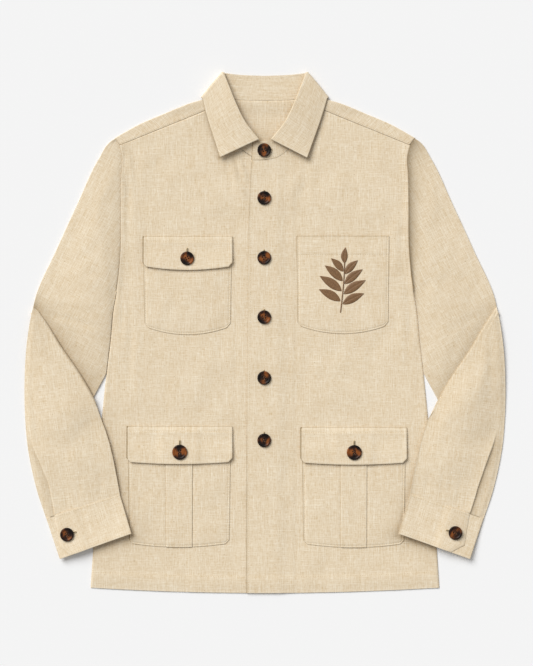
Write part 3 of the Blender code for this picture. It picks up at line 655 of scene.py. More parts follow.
def sew_back():
    """Back panel, face down: a Coons patch with its creases rising into the air gap."""
    lower, upper = even(72), even(34)[1:]
    x_hem = HEM_X - BACK_INSET
    y_hem = hem_y(x_hem) + BACK_HEM_UP
    side = curve(SIDE, lower) - [BACK_INSET, 0.0]
    side[0] = (x_hem, y_hem)
    y_yoke = YOKE_SEAM_Y - GAP
    underarm = (ARMHOLE[0][0] - BACK_INSET, ARMHOLE[0][1])
    yoke_end = (armhole_x(y_yoke) - GAP, y_yoke)
    armhole = curve((underarm,) + ARMHOLE[1:5] + (yoke_end,), upper)
    right = np.concatenate([side, armhole])
    left = right * [-1.0, 1.0]
    columns = edged(66, 2 * x_hem)
    x_low = x_hem * (2 * columns - 1)
    low = np.stack([x_low, hem_y(x_low) + BACK_HEM_UP], axis=1)
    high = np.stack([right[-1, 0] * (2 * columns - 1), np.full_like(columns, right[-1, 1])], axis=1)
    plan = patch(low, high, left, right)
    x, y = plan[..., 0], plan[..., 1]
    away = np.minimum(np.abs(plan - right[:, None])[..., 0], np.abs(plan - left[:, None])[..., 0])
    inward = step(away / 14.0) * step((y - low[0, 1]) / 20.0) * step((y_yoke - y) / 12.0)
    rise = -creases(BACK_CREASES, x, y) + 0.4 * ripple(x, y, SEEDS["back"]) + 0.06
    z = 0.02 + inward * np.clip(rise, 0.0, 0.5)
    sew_sheet("back_cloth", [with_z(plan, z)], [plan], WALL, flip=True)


def sew_yoke():
    """Yoke: flat behind the neck, turned over the shoulders by half a circle, down to the front seams."""
    shoulder = curve(SHOULDER, even(60))
    inner = curve(BACK_NECK, even(36)[1:])
    half = np.concatenate([shoulder, inner])
    high = np.concatenate([half, half[-2::-1] * [-1.0, 1.0]])
    normal = unit((SHOULDER[0][1] - SHOULDER[-1][1], SHOULDER[-1][0] - SHOULDER[0][0])) * -1.0
    turn_z = 0.5 * (2 * PLY + AIR)
    inset = np.zeros_like(high)
    count = len(shoulder)
    inset[:count] = normal * turn_z
    inset[-count:] = normal * [-1.0, 1.0] * turn_z
    top = high - inset
    rows = even(34)[:, None]
    edge = armhole_x(YOKE_SEAM_Y + rows * (SHOULDER_TIP[1] - YOKE_SEAM_Y))
    narrow = (high[:, 0] - rows * inset[:, 0]) * edge / SHOULDER_TIP[0]
    flat = np.stack([narrow, YOKE_SEAM_Y + rows * (top[:, 1] - YOKE_SEAM_Y)], axis=-1)
    slack = 0.25 * np.sin(math.pi * rows) * (1 + np.sin(flat[..., 0] / 23.0))
    grids = [with_z(flat, neck_lift(flat[..., 1]) + 0.05 + slack * step((300.0 - flat[..., 1]) / 40.0))]
    front_seam = curve(YOKE_FRONT, shares(shoulder))
    fold = shoulder - normal * turn_z
    lift = neck_lift(fold[:, 1]) + 0.05
    wrap, pattern, paint_shaded = [grids[0][-1, :count]], [flat[-1, :count]], [np.zeros(count)]
    for angle in half_turn(22.5):
        plan = fold + normal * turn_z * math.sin(angle)
        wrap.append(with_z(plan, lift + turn_z * (1 - math.cos(angle))))
        pattern.append(fold + normal * turn_z * angle)
        paint_shaded.append(np.zeros(count))
    length = np.linalg.norm(front_seam - fold, axis=1)
    for share in edged(16, 16.0, first=False):
        plan = fold + (front_seam - fold) * share
        away = length * (1 - share)
        z = neck_lift(plan[:, 1]) + 2 * turn_z - roll(away) + 0.12 * bell(away - 3.0, 2.2)
        z = z + 0.6 * ripple(plan[:, 0], plan[:, 1], SEEDS["yoke"]) * math.sin(math.pi * share)
        wrap.append(with_z(plan, z))
        pattern.append(fold + normal * turn_z * math.pi + normal * length[:, None] * share)
        # A faint painted shade line along the yoke's seam to the fronts.
        paint_shaded.append(-0.1 * bell(away, 0.7))
    wrap, pattern, paint_shaded = np.stack(wrap), np.stack(pattern), np.stack(paint_shaded)
    # Painted shadow beside the shade lines, which falls inside the neck from the collar leaf.
    wear_and_shading_parts = [-painted_shade_tone(flat[..., 0], flat[..., 1]), paint_shaded, paint_shaded[:, ::-1]]
    grids += [wrap, mirrored(wrap, -1)[:, ::-1]]
    flats = [flat, pattern, (pattern * [-1.0, 1.0])[:, ::-1]]
    sew_sheet("yoke_cloth", grids, flats, WALL, wear_and_shading_parts=wear_and_shading_parts)
    return grids


def sew_front(name, sign, edge, lapping):
    """Front panel: a Coons patch from closing edge to side and from hem to neck and yoke seam."""
    neck_rows = even(46)[1:]
    low_rows = edged(205, FRONT_LONG, last=False)
    x_neck, x_hem, between = edge
    hem_left = (x_hem, hem_y(x_hem))
    hem_right = (SIDE[0][0], hem_y(SIDE[0][0]))
    closing = curve((hem_left,) + between + ((x_neck, NECK_EDGE_Y),), low_rows)
    neckline = curve(((x_neck, NECK_EDGE_Y),) + NECKLINE, neck_rows)
    left = np.concatenate([closing, neckline])
    outline = SIDE_LINE.tolist() + curve(ARMHOLE, even(120))[1:].tolist()
    rows = np.concatenate([low_rows * CLOSING_SHARE, CLOSING_SHARE + NECKLINE_SHARE * neck_rows])
    right = curve(outline, rows, straight=True)
    right[0] = hem_right
    columns = edged(112, FRONT_WIDE)
    columns = np.sort(np.concatenate([columns, 1 - np.array([1.4, 2.1, 2.9, 3.8]) / FRONT_WIDE]))
    low = curve((hem_left, hem_right), columns)
    low[:, 1] = hem_y(low[:, 0])
    high = curve((left[-1], right[-1]), columns)
    plan = patch(low, high, left, right)
    x, y = plan[..., 0] * sign, plan[..., 1]
    z = front_z(x, y, lapping)
    away = np.linalg.norm(plan - right[:, None], axis=-1)
    armhole = step((right[:, 1] - 50.0) / 25.0)[:, None]
    ridge = ARMHOLE_RIDGE * (1 - step(away / ARMHOLE_RIDGE_WIDTH)) - 1.2 * roll(away)
    inside = np.clip(1 - away / SIDE_ROUND, 0.0, 1.0)
    drop = (z - SIDE_EDGE_Z) * (1 - np.sqrt(1 - inside**2))
    z = z + armhole * ridge - (1 - armhole) * drop
    from_edge = np.linalg.norm(plan - left[:, None], axis=-1)
    from_hem = y - hem_y(plan[..., 0])
    z = z - roll(from_edge) * step((NECK_EDGE_Y + 1.0 - y) / 2.0) - 0.3 * roll(from_hem)
    hem_ply = 0.45 * (1 - step((from_hem - 22.5) / 3.0))
    z = z + hem_ply * step(away / 6.0) - 1.0 * bell(from_hem, 9.0) * step(away / 6.0)
    # Tone of the front: a pale line at the closing edge and hem, worn pale and partly a painted highlight; a
    # painted shade line down the closing edge; painted shadow beside the shade lines; along the armhole a
    # painted highlight on the viewer's left front and a painted shade line on the viewer's right front.
    wear_and_shading = bell(np.minimum(from_edge, from_hem) - 1.2, 0.9)
    closing_edge = step((NECK_EDGE_Y - 1.0 - y) / 3.0)
    line = 0.9 + 0.5 * step((-60.0 - y) / 220.0) + 0.3 * step((y - 110.0) / 80.0)
    wear_and_shading = (wear_and_shading - line * (1 - step((from_edge - 0.9) / 0.9))) * closing_edge - painted_shade_tone(x, y)
    wear_and_shading = wear_and_shading - ARMHOLE_LINE_TONE[sign] * armhole * bell(away, 0.8)
    grid = mirrored(with_z(plan, z), sign)
    sew_sheet(name + "_cloth", [grid], [plan * [sign, 1.0]], WALL, flip=sign < 0, wear_and_shading_parts=[wear_and_shading])
    return grid


def folded_band(front, back, bulge, rows):
    """Half of a band round the neck: front rows, half an ellipse at the side, then back rows to the centre.

    Gives both edges of each section and the way its outer face points, up, outward, then down."""
    front, back = np.asarray(front, float), np.asarray(back, float)
    front = np.concatenate([curve(front[:, :3], even(rows[0])), curve(front[:, 3:], even(rows[0]))], axis=1)
    back = np.concatenate([curve(back[:, :3], even(rows[1])), curve(back[:, 3:], even(rows[1]))], axis=1)
    across = front[-1, 3:5] - front[-1, :2]
    outward = unit((-across[1], across[0]))
    outward = outward * math.copysign(1.0, outward[0])
    angle = half_turn(15.0)[:, None]
    turn = 0.5 * (front[-1] + back[0]) + 0.5 * (front[-1] - back[0]) * np.cos(angle)
    turn[:, 0:2] += outward * bulge * np.sin(angle)
    turn[:, 3:5] += outward * bulge * np.sin(angle)
    angle = np.concatenate([np.zeros(len(front)), angle[:, 0], np.full(len(back), math.pi)])[:, None]
    facing = np.concatenate([outward * np.sin(angle), np.cos(angle)], axis=1)
    return np.concatenate([front, turn, back]), facing


def whole_band(right, left):
    """Sections of one half, then the other mirrored: first edge, second edge, facing, length along."""
    flip = np.array([-1.0, 1.0, 1.0])
    first = np.concatenate([right[0][:, :3], left[0][-2::-1, :3] * flip])
    second = np.concatenate([right[0][:, 3:], left[0][-2::-1, 3:] * flip])
    facing = np.concatenate([right[1], left[1][-2::-1] * flip])
    return first, second, facing, arc_length(0.5 * (first + second))


def sew_leaf():
    """Collar leaf: straight across each section, turned under with a small radius at the roll line."""
    halves = [folded_band(front, LEAF_BACK, LEAF_BULGE, (90, 40)) for front in (LEAF_LEFT, LEAF_RIGHT)]
    first, second, facing, along = whole_band(*halves)
    run = second - first
    width = np.linalg.norm(run, axis=1)[:, None]
    out = run / width
    under = np.radians(np.array([-75.0, -45.0, -20.0, 5.0, 25.0, 45.0, 60.0, 75.0]))
    radius = LEAF_TURN
    turned = [first + out * radius * (1 - math.cos(a)) - facing * radius * (1 - math.sin(a)) for a in under]
    turned_in = [np.full_like(along, radius * (a - math.pi / 2) + radius) for a in under]
    pattern = [np.stack([inward, along], axis=1) for inward in turned_in]
    # The turned roll is drawn a little paler.
    grid, wear_and_shading = turned, [np.full_like(along, 0.35) for _ in under]
    ends = np.minimum(along, along[-1] - along)
    for share in edged(46, LEAF_WIDE, first=False):
        at = radius + (width - radius) * share
        away = (width - at)[:, 0]
        swell = 0.5 * np.sin(math.pi * share)
        slack = 0.45 * ripple(along, LEAF_WIDE * share + 0 * along, SEEDS["leaf"])
        slack = slack * math.sin(math.pi * share)
        seam_ply = 0.15 * bell(away - 2.6, 2.0)
        height = swell + slack + seam_ply - roll(away) - roll(ends)
        height = np.where(facing[:, 2] < 0.0, np.minimum(height, 0.0), height)
        grid.append(first + out * at + facing * height[:, None])
        pattern.append(np.stack([at[:, 0], along], axis=1))
        # Edges pale, worn and partly a painted highlight, with a painted shade line along the free outer
        # edge.
        worn_and_painted = bell(np.minimum(away, ends) - 1.3, 0.9)
        wear_and_shading.append(worn_and_painted - 1.3 * (1 - step((away - 0.6) / 0.7)))
    grid, pattern, wear_and_shading = np.stack(grid, axis=1), np.stack(pattern, axis=1), np.stack(wear_and_shading, axis=1)
    sew_sheet("collar_leaf_cloth", [grid], [pattern], TWO_WALL, wear_and_shading_parts=[wear_and_shading])


def sew_stand():
    """Collar stand: straight across each section from neck seam to top edge, its front ends lapping."""
    lap = folded_band(STAND_LAP + STAND_FRONT, STAND_BACK, STAND_BULGE, (110, 40))
    under = folded_band(STAND_UNDER + STAND_FRONT, STAND_BACK, STAND_BULGE, (110, 40))
    first, second, facing, along = whole_band(lap, under)
    run = second - first
    width = np.linalg.norm(run, axis=1)
    ends = np.minimum(along, along[-1] - along)
    grid, pattern, wear_and_shading = [], [], []
    for share in edged(22, STAND_WIDE):
        slack = ripple(along, STAND_WIDE * share + 0 * along, SEEDS["stand"])
        height = 0.3 * slack * math.sin(math.pi * share)
        height = height - roll(width * (1 - share)) - roll(ends)
        grid.append(first + run * share + facing * height[:, None])
        pattern.append(np.stack([width * share, along], axis=1))
        # A painted shade line down the stand's ends, where the closing edge runs on, and painted shadow from
        # the collar leaf.
        wear_and_shading.append(-1.4 * (1 - step((ends - 0.8) / 0.7)) - painted_shade_tone(grid[-1][:, 0], grid[-1][:, 1]))
    grid, pattern, wear_and_shading = np.stack(grid, axis=1), np.stack(pattern, axis=1), np.stack(wear_and_shading, axis=1)
    sew_sheet("collar_stand_cloth", [grid], [pattern], TWO_WALL, flip=True, wear_and_shading_parts=[wear_and_shading])
    return grid


# Way the threads lie on the upper sleeve and on the forearm, and the sleeve's cut: girth, length
UPPER_LIE = unit((-0.46, 0.89))
FOREARM_LIE = unit((0.13, 0.99))
SLEEVE_CUT = (330.0, 560.0)


def sleeve_ring():
    """Columns round a flattened sleeve: face, inner edge, underside, outer edge, first column repeated.

    Gives each column's share across and its side, 1 on the face to -1 on the underside."""
    cap = 0.5 / 130.0
    dense = np.linspace(0.045, 0.215, 40)
    face = np.concatenate([[cap, cap + 0.0008], np.linspace(cap + 0.0025, 0.045, 8)[:-1], dense,
                           np.linspace(0.215, 1 - cap - 0.003, 47)[1:], [1 - cap - 0.0008, 1 - cap]])
    turn = np.radians(np.linspace(90.0, -90.0, 9))[1:-1]
    inner = 1 - cap + cap * np.cos(turn)
    outer = (cap - cap * np.cos(turn))[::-1]
    below = np.linspace(1 - cap, cap, 30)
    across = np.concatenate([face, inner, below, outer, face[:1]])
    side = np.concatenate([np.ones(len(face)), np.sin(turn), -np.ones(len(below)),
                           np.sin(turn)[::-1], [1.0]])
    return across, side


def forearm_rest_z(plan, start, fold_out):
    """Height under the forearm: the folded sleeve near the elbow line, else the surface or the body."""
    depth = -(plan - start) @ fold_out
    along = (plan - start) @ np.array([fold_out[1], -fold_out[0]]) * -1.0
    stack = 4 * SLEEVE_HALF + 2 * GAP
    stack = stack * (1 - step((depth - STACK_REACH) / STACK_FADE))
    stack = stack * (1 - step((along - STACK_END) / STACK_END_FADE))
    rest = body_rest_z(plan[:, 0], plan[:, 1])
    return 0.5 * (stack + rest + np.sqrt((stack - rest) ** 2 + 1.0))


def sleeve_sections(across, sign):
    """Sections from armhole to cuff: plan, middle height, half-thickness, facing, relief, painted shading,
    lie.

    The upper sleeve and the forearm are Coons patches; the tuck and the elbow fold are half circles."""
    half = np.full(len(across), SLEEVE_HALF)
    swell = np.abs(np.sin(math.pi * across)) ** SWELL_POWER[sign]
    ends = step(across / 0.06) * step((1 - across) / 0.08) * FOLD_FULL[sign]
    turn_radius = SLEEVE_HALF + GAP / 2
    tuck = curve(TUCK_LINE, across)
    fold_out = unit((FOLD_LINE[-1][1] - FOLD_LINE[0][1], FOLD_LINE[0][0] - FOLD_LINE[-1][0]))
    tuck_out = unit((TUCK_LINE[0][1] - TUCK_LINE[1][1], TUCK_LINE[1][0] - TUCK_LINE[0][0]))
    inset = (2 * SLEEVE_HALF + GAP / 2 - FOLD_EASE) * ends
    fold_way = [(x, y - drop) for (x, y), drop in zip(FOLD_LINE, FOLD_DROP[sign])]
    fold = curve(fold_way, across) - fold_out * inset[:, None]
    fold_line = curve(fold_way, even(60))
    inside = step(across / 0.06) * step((1 - across) / 0.06)
    first_sink, rest_sink, sink_reach = FOLD_SINK[sign]
    sink = rest_sink + (first_sink - rest_sink) * (1 - step(across / 0.4))
    rows = []

    def add(plan, middle, thick, facing, relief=0.0, wear_and_shading=0.0, lie=UPPER_LIE):
        """One more section, its single values spread over all columns."""
        rows.append((plan, np.broadcast_to(middle, across.shape), thick, facing,
                     np.broadcast_to(relief, across.shape), np.broadcast_to(wear_and_shading, across.shape), lie))

    armhole = curve((SHOULDER_TIP,) + ARMHOLE[::-1], np.clip(across, 0, 1))
    armhole[:, 0] += SLEEVE_SEAM_GAP
    upper = np.concatenate([[0.0, 0.0005, 0.002], even(240)[2:12:2], np.linspace(0.05, 0.95, 90),
                            even(40)[-2:]])
    outer = curve((armhole[0],) + SLEEVE_OUTER[1:], upper)
    body_y = np.linspace(60.0, -62.0, 12)
    beside = np.stack([side_x(body_y) + SLEEVE_SEAM_GAP, body_y], axis=1)
    inner = curve(beside.tolist() + list(SLEEVE_INNER_END), upper, straight=True)
    order = np.argsort(across, kind="stable")
    back = np.argsort(order, kind="stable")
    sheet = patch(armhole[order], tuck[order], outer, inner)[:, back]
    for share, plan in zip(upper, sheet):
        loft = SLEEVE_LOFT + SLEEVE_SWELL * step(share / 0.3) * step((1 - share) / 0.22)
        loft = loft * UPPER_LOFT[sign]
        thick = half + loft * swell * math.sin(math.pi * share) ** 0.7
        from_seam = np.linalg.norm(plan - armhole, axis=1)
        cap_rise, cap_reach = SLEEVE_CAP[sign]
        fall = cap_rise * np.exp(-from_seam / cap_reach) * step((1 - share) / 0.5)
        relief = creases(SLEEVE_CREASES[sign], plan[:, 0], plan[:, 1])
        relief = relief + 1.1 * ripple(plan[:, 0], plan[:, 1], SEEDS["upper sleeve"] + sign)
        relief = relief * step(share / 0.04)
        from_fold = np.interp(plan[:, 1], fold_line[::-1, 1], fold_line[::-1, 0]) - plan[:, 0]
        from_fold = np.clip(0.85 * from_fold, 0.0, 200.0) + np.clip(plan[:, 1] - fold_line[0, 1], 0.0, 200.0)
        depth, reach = ELBOW_SHADE[sign]
        valley = np.exp(-from_fold / reach)
        seam_shade_depth, seam_shade_reach = CAP_SHADE[sign]
        seam_shade_reach = seam_shade_reach * (1 + 0.5 * step((190.0 - plan[:, 1]) / 90.0))
        # Painted shade above the elbow fold and beside the armhole seam, and a painted dark line along the
        # seam.
        wear_and_shading = -depth * valley - seam_shade_depth * np.exp(-from_seam / seam_shade_reach) * step((1 - share) / 0.6)
        wear_and_shading = wear_and_shading - CAP_LINE[sign] * bell(from_seam, 0.9)
        relief = relief * inside + fall * step(across / 0.02) * step((1 - across) / 0.03)
        add(plan, thick + 0.06, thick, UP, relief - 1.2 * valley * inside, wear_and_shading)
    pivot = 2 * SLEEVE_HALF + GAP / 2
    for angle in half_turn(22.5):
        facing = np.append(-tuck_out * math.sin(angle), math.cos(angle))
        add(tuck + tuck_out * turn_radius * math.sin(angle), pivot - turn_radius * math.cos(angle), half,
            facing)
    for share in even(6):
        middle = pivot + turn_radius - 0.6 * sink * share**2
        add(tuck + (fold - tuck) * share, middle, half * (1 - 0.09 * sink * share), -UP)
    pivot = 4 * SLEEVE_HALF + 1.5 * GAP
    for angle in half_turn(15.0):
        facing = np.append(fold_out * math.sin(angle), -math.cos(angle))
        bulge = turn_radius * math.sin(angle) * ends
        sunk = sink * (0.6 + 0.4 * math.sin(0.5 * angle) ** 2)
        # The elbow fold's turn carries painted shade.
        add(fold + fold_out * bulge[:, None], pivot - turn_radius * math.cos(angle) - sunk,
            half * np.maximum(ends, 0.3), facing, wear_and_shading=-FOLD_SHADE[sign] * inside, lie=FOREARM_LIE)
    lower = np.concatenate([np.linspace(0.0, 0.94, 88), np.linspace(0.945, 1.0, 10)])
    outer = curve((fold[order[0]],) + FOREARM_OUTER, lower)
    inner = curve((fold[order[-1]],) + FOREARM_INNER, lower)
    wrist = curve((FOREARM_OUTER[-1], FOREARM_INNER[-1]), across)
    sheet = patch(fold[order], wrist[order], outer, inner)[:, back]
    vent_long, vent_rise, vent_shade_depth, vent_shade_reach, vent_lit = SLEEVE_VENTS[sign]
    for share, plan in zip(lower, sheet):
        loft = SLEEVE_LOFT + SLEEVE_SWELL * step(share / 0.25) * step((1 - share) / 0.35)
        rim = 1 - 0.42 * (1 - step(across / 0.07)) * step(share / 0.1)
        thick = half * rim + loft * swell * math.sin(math.pi * share)
        rest = forearm_rest_z(plan, fold[order[0]], fold_out)
        rest = rest - sink * math.exp(-share * FOREARM_LONG / sink_reach)
        rest = np.maximum(rest, body_rest_z(plan[:, 0], plan[:, 1]) + 0.1)
        relief = creases(SLEEVE_CREASES[sign], plan[:, 0], plan[:, 1])
        relief = relief + 1.1 * ripple(plan[:, 0], plan[:, 1], SEEDS["forearm"] + sign)
        up_vent = np.clip((1 - share) * VENT_RUN / vent_long, 0.0, 1.0)
        over = across - np.interp(up_vent, *VENT_WAY[sign])
        lap = vent_rise * step(over / 0.012 + 0.5) * np.exp(-np.clip(over, 0, 1) / 0.13)
        open_vent = step((1 - up_vent) / 0.28)
        relief = relief + lap * open_vent
        shade = vent_shade_depth * step(-over / 0.008) * np.exp(-np.clip(-over, 0, 1) * FOREARM_WIDE / vent_shade_reach)
        shade = (shade - vent_lit * bell((over - 0.01) * FOREARM_WIDE, 1.2)) * open_vent
        lift = INNER_RISE[sign] * step((across - 0.75) / 0.25) * math.sin(math.pi * share)
        # Painted shade on the forearm close to the elbow fold and beside its vent, and a painted highlight
        # along the vent's lapping edge.
        wear_and_shading = -0.3 * sink / 4.0 * math.exp(-share * FOREARM_LONG / 40.0) - shade
        # On the sleeve at the viewer's right: painted shade along the forearm's inner edge and a painted
        # highlight along its outer edge.
        if sign > 0:
            wear_and_shading = wear_and_shading - 0.5 * bell((1 - across) * FOREARM_WIDE, 1.8)
            wear_and_shading = wear_and_shading + 0.8 * bell(across * FOREARM_WIDE, 1.8)
        relief = relief * inside * step((1 - share) / 0.02 + 0.3)
        add(plan, rest + thick + lift, thick, UP, relief, wear_and_shading, FOREARM_LIE)
    return rows


def sew_sleeve(name, sign):
    """One flattened tube, tucked at the elbow so that the forearm lies back over it."""
    across, side = sleeve_ring()
    grid, pattern = [], []
    under = np.where(side < -0.5, 200.0, 0.0)
    sections = sleeve_sections(across, sign)
    for plan, middle, thick, facing, relief, _, lie in sections:
        centre = with_z(plan, middle)
        grid.append(centre + facing * (thick * side + relief * np.clip(side, 0.0, 1.0))[:, None])
        along = plan @ lie
        aside = plan @ np.array([-lie[1], lie[0]])
        pattern.append(np.stack([aside + under, along], axis=1))
    grid, pattern = mirrored(np.stack(grid), sign), np.stack(pattern)
    wear_and_shading = np.stack([row[5] for row in sections])
    sew_sheet(name + "_cloth", [grid], [pattern], WALL, flip=sign < 0, wear_and_shading_parts=[wear_and_shading],
              cut=SLEEVE_CUT)


def cuff_path(lap_end):
    """Way round the wrist, from the end under the lap to lap_end.

    Gives share across, height in cuff thicknesses, share of the outer face's relief, and the side,
    1 above to -1 below."""
    turn = np.radians(np.linspace(90.0, -90.0, 11))[1:-1]
    cap = 0.012
    inner_end = np.linspace(lap_end, cap, 14)
    below = np.linspace(cap, 1 - cap, 34)
    above = np.linspace(1 - cap, lap_end + CUFF_TAB_START, 62)
    across = np.concatenate([inner_end, cap - cap * np.cos(turn), below,
                             1 - cap + cap * np.cos(turn[::-1]), above])
    outward = np.concatenate([np.ones(len(inner_end)), np.sin(turn), -np.ones(len(below)),
                              np.sin(turn[::-1]), np.ones(len(above))])
    level = 0.5 + 0.5 * outward
    face = np.concatenate([np.zeros(len(inner_end) + len(turn) + len(below)),
                           np.clip(np.sin(turn[::-1]), 0, 1), np.ones(len(above))])
    return across, level, face, outward


def cuff_lift(depth):
    """Rise of a cuff toward its lower edge, which stands off what it lies on."""
    return CUFF_LIFT * np.asarray(depth) ** 1.6


def cuff_plan(across, depth):
    """Plan of the cuff at shares across and down it."""
    across, depth = np.asarray(across)[..., None], np.asarray(depth)[..., None]
    seam = np.array(CUFF_SEAM[0]) * (1 - across) + np.array(CUFF_SEAM[1]) * across
    edge = np.array(CUFF_EDGE[0]) * (1 - across) + np.array(CUFF_EDGE[1]) * across
    return seam + (edge - seam) * depth


def sew_cuff(name, sign, at_seam, at_corner, corner, at_edge):
    """One band wound round the wrist, with a lapping end whose corner is cut off."""
    depth = np.sort(np.append(edged(34, CUFF_DEEP), [corner - 0.006, corner + 0.006]))
    lap_end = CUFF_UNDERLAP + at_seam
    across, level, face, outward = cuff_path(lap_end)
    high, top = 2 * TWO_PLY + GAP, 3 * TWO_PLY + 2 * GAP
    rise = (top - high) * (1 - step((across - lap_end - CUFF_TAB_START) / 0.14)) * face
    end = np.interp(depth, (0.0, corner, 1.0), (at_seam, at_corner, at_edge))
    share = edged(30, 24.0, first=False)[1:]
    tab = lap_end + CUFF_TAB_START + (end[None] - lap_end - CUFF_TAB_START) * share[:, None]
    across = np.concatenate([np.broadcast_to(across[:, None], (len(across), len(depth))), tab])
    level = np.concatenate([level * high + rise, np.full(len(share), top)])
    face = np.concatenate([face, np.ones(len(share))])
    outward = np.concatenate([outward, np.ones(len(share))])
    plan = cuff_plan(across, np.broadcast_to(depth, across.shape))
    from_end = np.full(across.shape, 99.0)
    from_end[-len(share):] = np.abs(tab - end[None]) * CUFF_WIDE
    down = depth[None] * CUFF_DEEP
    away = np.minimum(np.minimum(down, CUFF_DEEP - down), from_end)
    z = body_rest_z(plan[..., 0], plan[..., 1]) + level[:, None] + cuff_lift(depth)[None]
    slack = 0.6 * ripple(plan[..., 0], plan[..., 1], SEEDS["cuff"] + sign) * np.sin(math.pi * depth)[None]
    seam_ply = 0.2 * bell(away - 2.6, 1.8)
    z = z + face[:, None] * (slack + seam_ply) - roll(away) * outward[:, None] * step(down / 8.0 + 0.2)
    z = z - 0.9 * bell(from_end, 5.0)
    round_wrist = np.append(0.0, np.cumsum(np.abs(np.diff(across[:, 0])))) * CUFF_ROUND
    pattern = np.stack(np.broadcast_arrays(round_wrist[:, None], -down), axis=-1)
    # Edges worn pale and partly a painted highlight; on the cuff at the viewer's right a painted shade along
    # its inner end.
    wear_and_shading = 0.7 * np.exp(-away / 1.3) * step(down / 6.0)
    wear_and_shading = wear_and_shading - CUFF_END_SHADE[sign] * bell((1 - across) * CUFF_WIDE, 1.8)
    grid = mirrored(with_z(plan, z), sign)
    sew_sheet(name + "_cloth", [grid], [pattern], TWO_WALL, flip=sign < 0, wear_and_shading_parts=[wear_and_shading])
    return grid


SEAM_STEPS = np.array([1.5, 2.2, 2.8, 3.4, 4.2, 5.2])  # columns set close together round a stitched seam
SEAM_IN = 2.8


def seamed(count, width):
    """Fractions over a width with close-set columns at both edges and round the seams beside them."""
    near = SEAM_STEPS / width
    return np.unique(np.round(np.concatenate([edged(count, width), 1 - near, near]), 6))


def seam_groove(away):
    """Dip of a row of stitches at SEAM_IN from an edge, with the turned-in ply showing beside it."""
    return -0.3 * bell(away - SEAM_IN, 0.7) + 0.15 * bell(away - 1.4, 0.8)


def corner_cut(columns, width, reach):
    """Share of an edge's full depth at each column: a nearly straight cut over reach at both ends."""
    near = np.minimum(columns, 1 - columns) * width / reach
    return np.clip(near, 0.0, 1.0) ** 0.9


def pocket_slack(x, y, x_mid):
    """Slack of a pocket's cloth, its waves drawn from a seed of the pocket's own."""
    return 0.7 * ripple(x, y, SEEDS["pocket"] + int(x_mid) % 7)


def sew_pocket(name, x_mid, y_top, w_top, w_low, drop, bow, pleat):
    """Patch pocket on a front, from the front's heights moved out, puffed between its seams.

    A box pleat is a raised strip; the lower edge bows and its corners are cut off."""
    columns = seamed(60, w_top)
    if pleat:
        edge = pleat / 2 + np.array([-1.2, -0.7, -0.35, -0.1, 0.15, 0.45, 1.2])
        edge = edge / w_top
        columns = np.unique(np.round(np.concatenate([columns, 0.5 - edge, 0.5 + edge]), 6))
    rows = seamed(64, drop)[:, None]
    width = w_top + (w_low - w_top) * rows
    x = x_mid + (columns[None] - 0.5) * width
    lower = drop - POCKET_CORNER + (POCKET_CORNER + bow * (1 - (2 * columns - 1) ** 2)) * corner_cut(
        columns, w_top, POCKET_CORNER + 1.0)
    y = y_top - rows * lower[None]
    beside = np.minimum(columns, 1 - columns)[None] * width
    below = (1 - rows) * lower[None]
    away = np.minimum(beside, below)
    mouth = rows * lower[None]
    puff = POCKET_PUFF * step(beside / 30.0) * step(below / 30.0) * step(1.0 - below / drop + 0.35)
    sunk = 0.5 * bell(away, 4.0)
    z = front_z(x, y, x_mid > 0) + GAP + PLY + puff - sunk
    z = z - roll(np.minimum(away, mouth)) + seam_groove(away)
    z = z + pocket_slack(x, y, x_mid) * step(away / 8.0)
    if pleat:
        off = np.abs(columns - 0.5)[None] * w_top
        raised = step((pleat / 2 + 0.15 - off) / 0.25)
        z = z + PLEAT_RISE * raised - 0.45 * bell(off - pleat / 2 - 0.6, 0.6)
        z = z - 0.3 * raised * bell(pleat / 2 - off, 0.5)
    else:
        z = z - 0.22 * bell(mouth - MOUTH_HEM, 1.3) + 0.3 * (1 - step((mouth - 26.5) / 2.5))
    grid = np.stack([x, y, z], axis=-1)
    # Tone of the pocket: a pale line inside its edges, worn and partly a painted highlight; a painted shade
    # line along its edges, strongest on the lit side; a painted shade line along its top edge; painted
    # shadow beside the shade lines and below the flap.
    lit = columns[None] * width < np.minimum((1 - columns)[None] * width, below)
    dark_edge = np.where(lit, 1.0, 0.35)
    wear_and_shading = 0.4 * bell(away - 1.8, 0.8) - dark_edge * (1 - step((away - 0.7) / 0.7))
    wear_and_shading = np.where(mouth < away, -0.8 * (1 - step((mouth - 0.7) / 0.7)), wear_and_shading) - painted_shade_tone(x, y)
    for flap in FLAPS:
        if FLAP_OVER[flap[0]] == name:
            wear_and_shading = wear_and_shading - flap_shade(flap, x, y)
    # Along the pleat a painted highlight inside its folds and a painted shade line on them.
    if pleat:
        wear_and_shading = wear_and_shading + 0.5 * bell(pleat / 2 - 0.9 - off, 0.6)
        wear_and_shading = wear_and_shading - bell(off - pleat / 2, 0.35)
    sew_sheet(name + "_cloth", [grid], [grid[..., :2]], WALL, flip=True, wear_and_shading_parts=[wear_and_shading])
    return grid


def flap_shade(flap, x, y):
    """Painted shadow on a pocket just below the lower edge of the flap that covers its mouth."""
    _, x_mid, y_top, width, drop, corner, bow, _ = flap
    u = np.clip((x - x_mid) / width + 0.5, 0.0, 1.0)
    low = y_top - drop - corner - bow * (1 - (2 * u - 1) ** 2)
    over = step((0.5 * width - np.abs(x - x_mid)) / 6.0)
    return 0.55 * over * np.exp(-np.clip(low + 1.5 - y, 0.0, 200.0) / 3.0) * step((low + 4.0 - y) / 1.0)


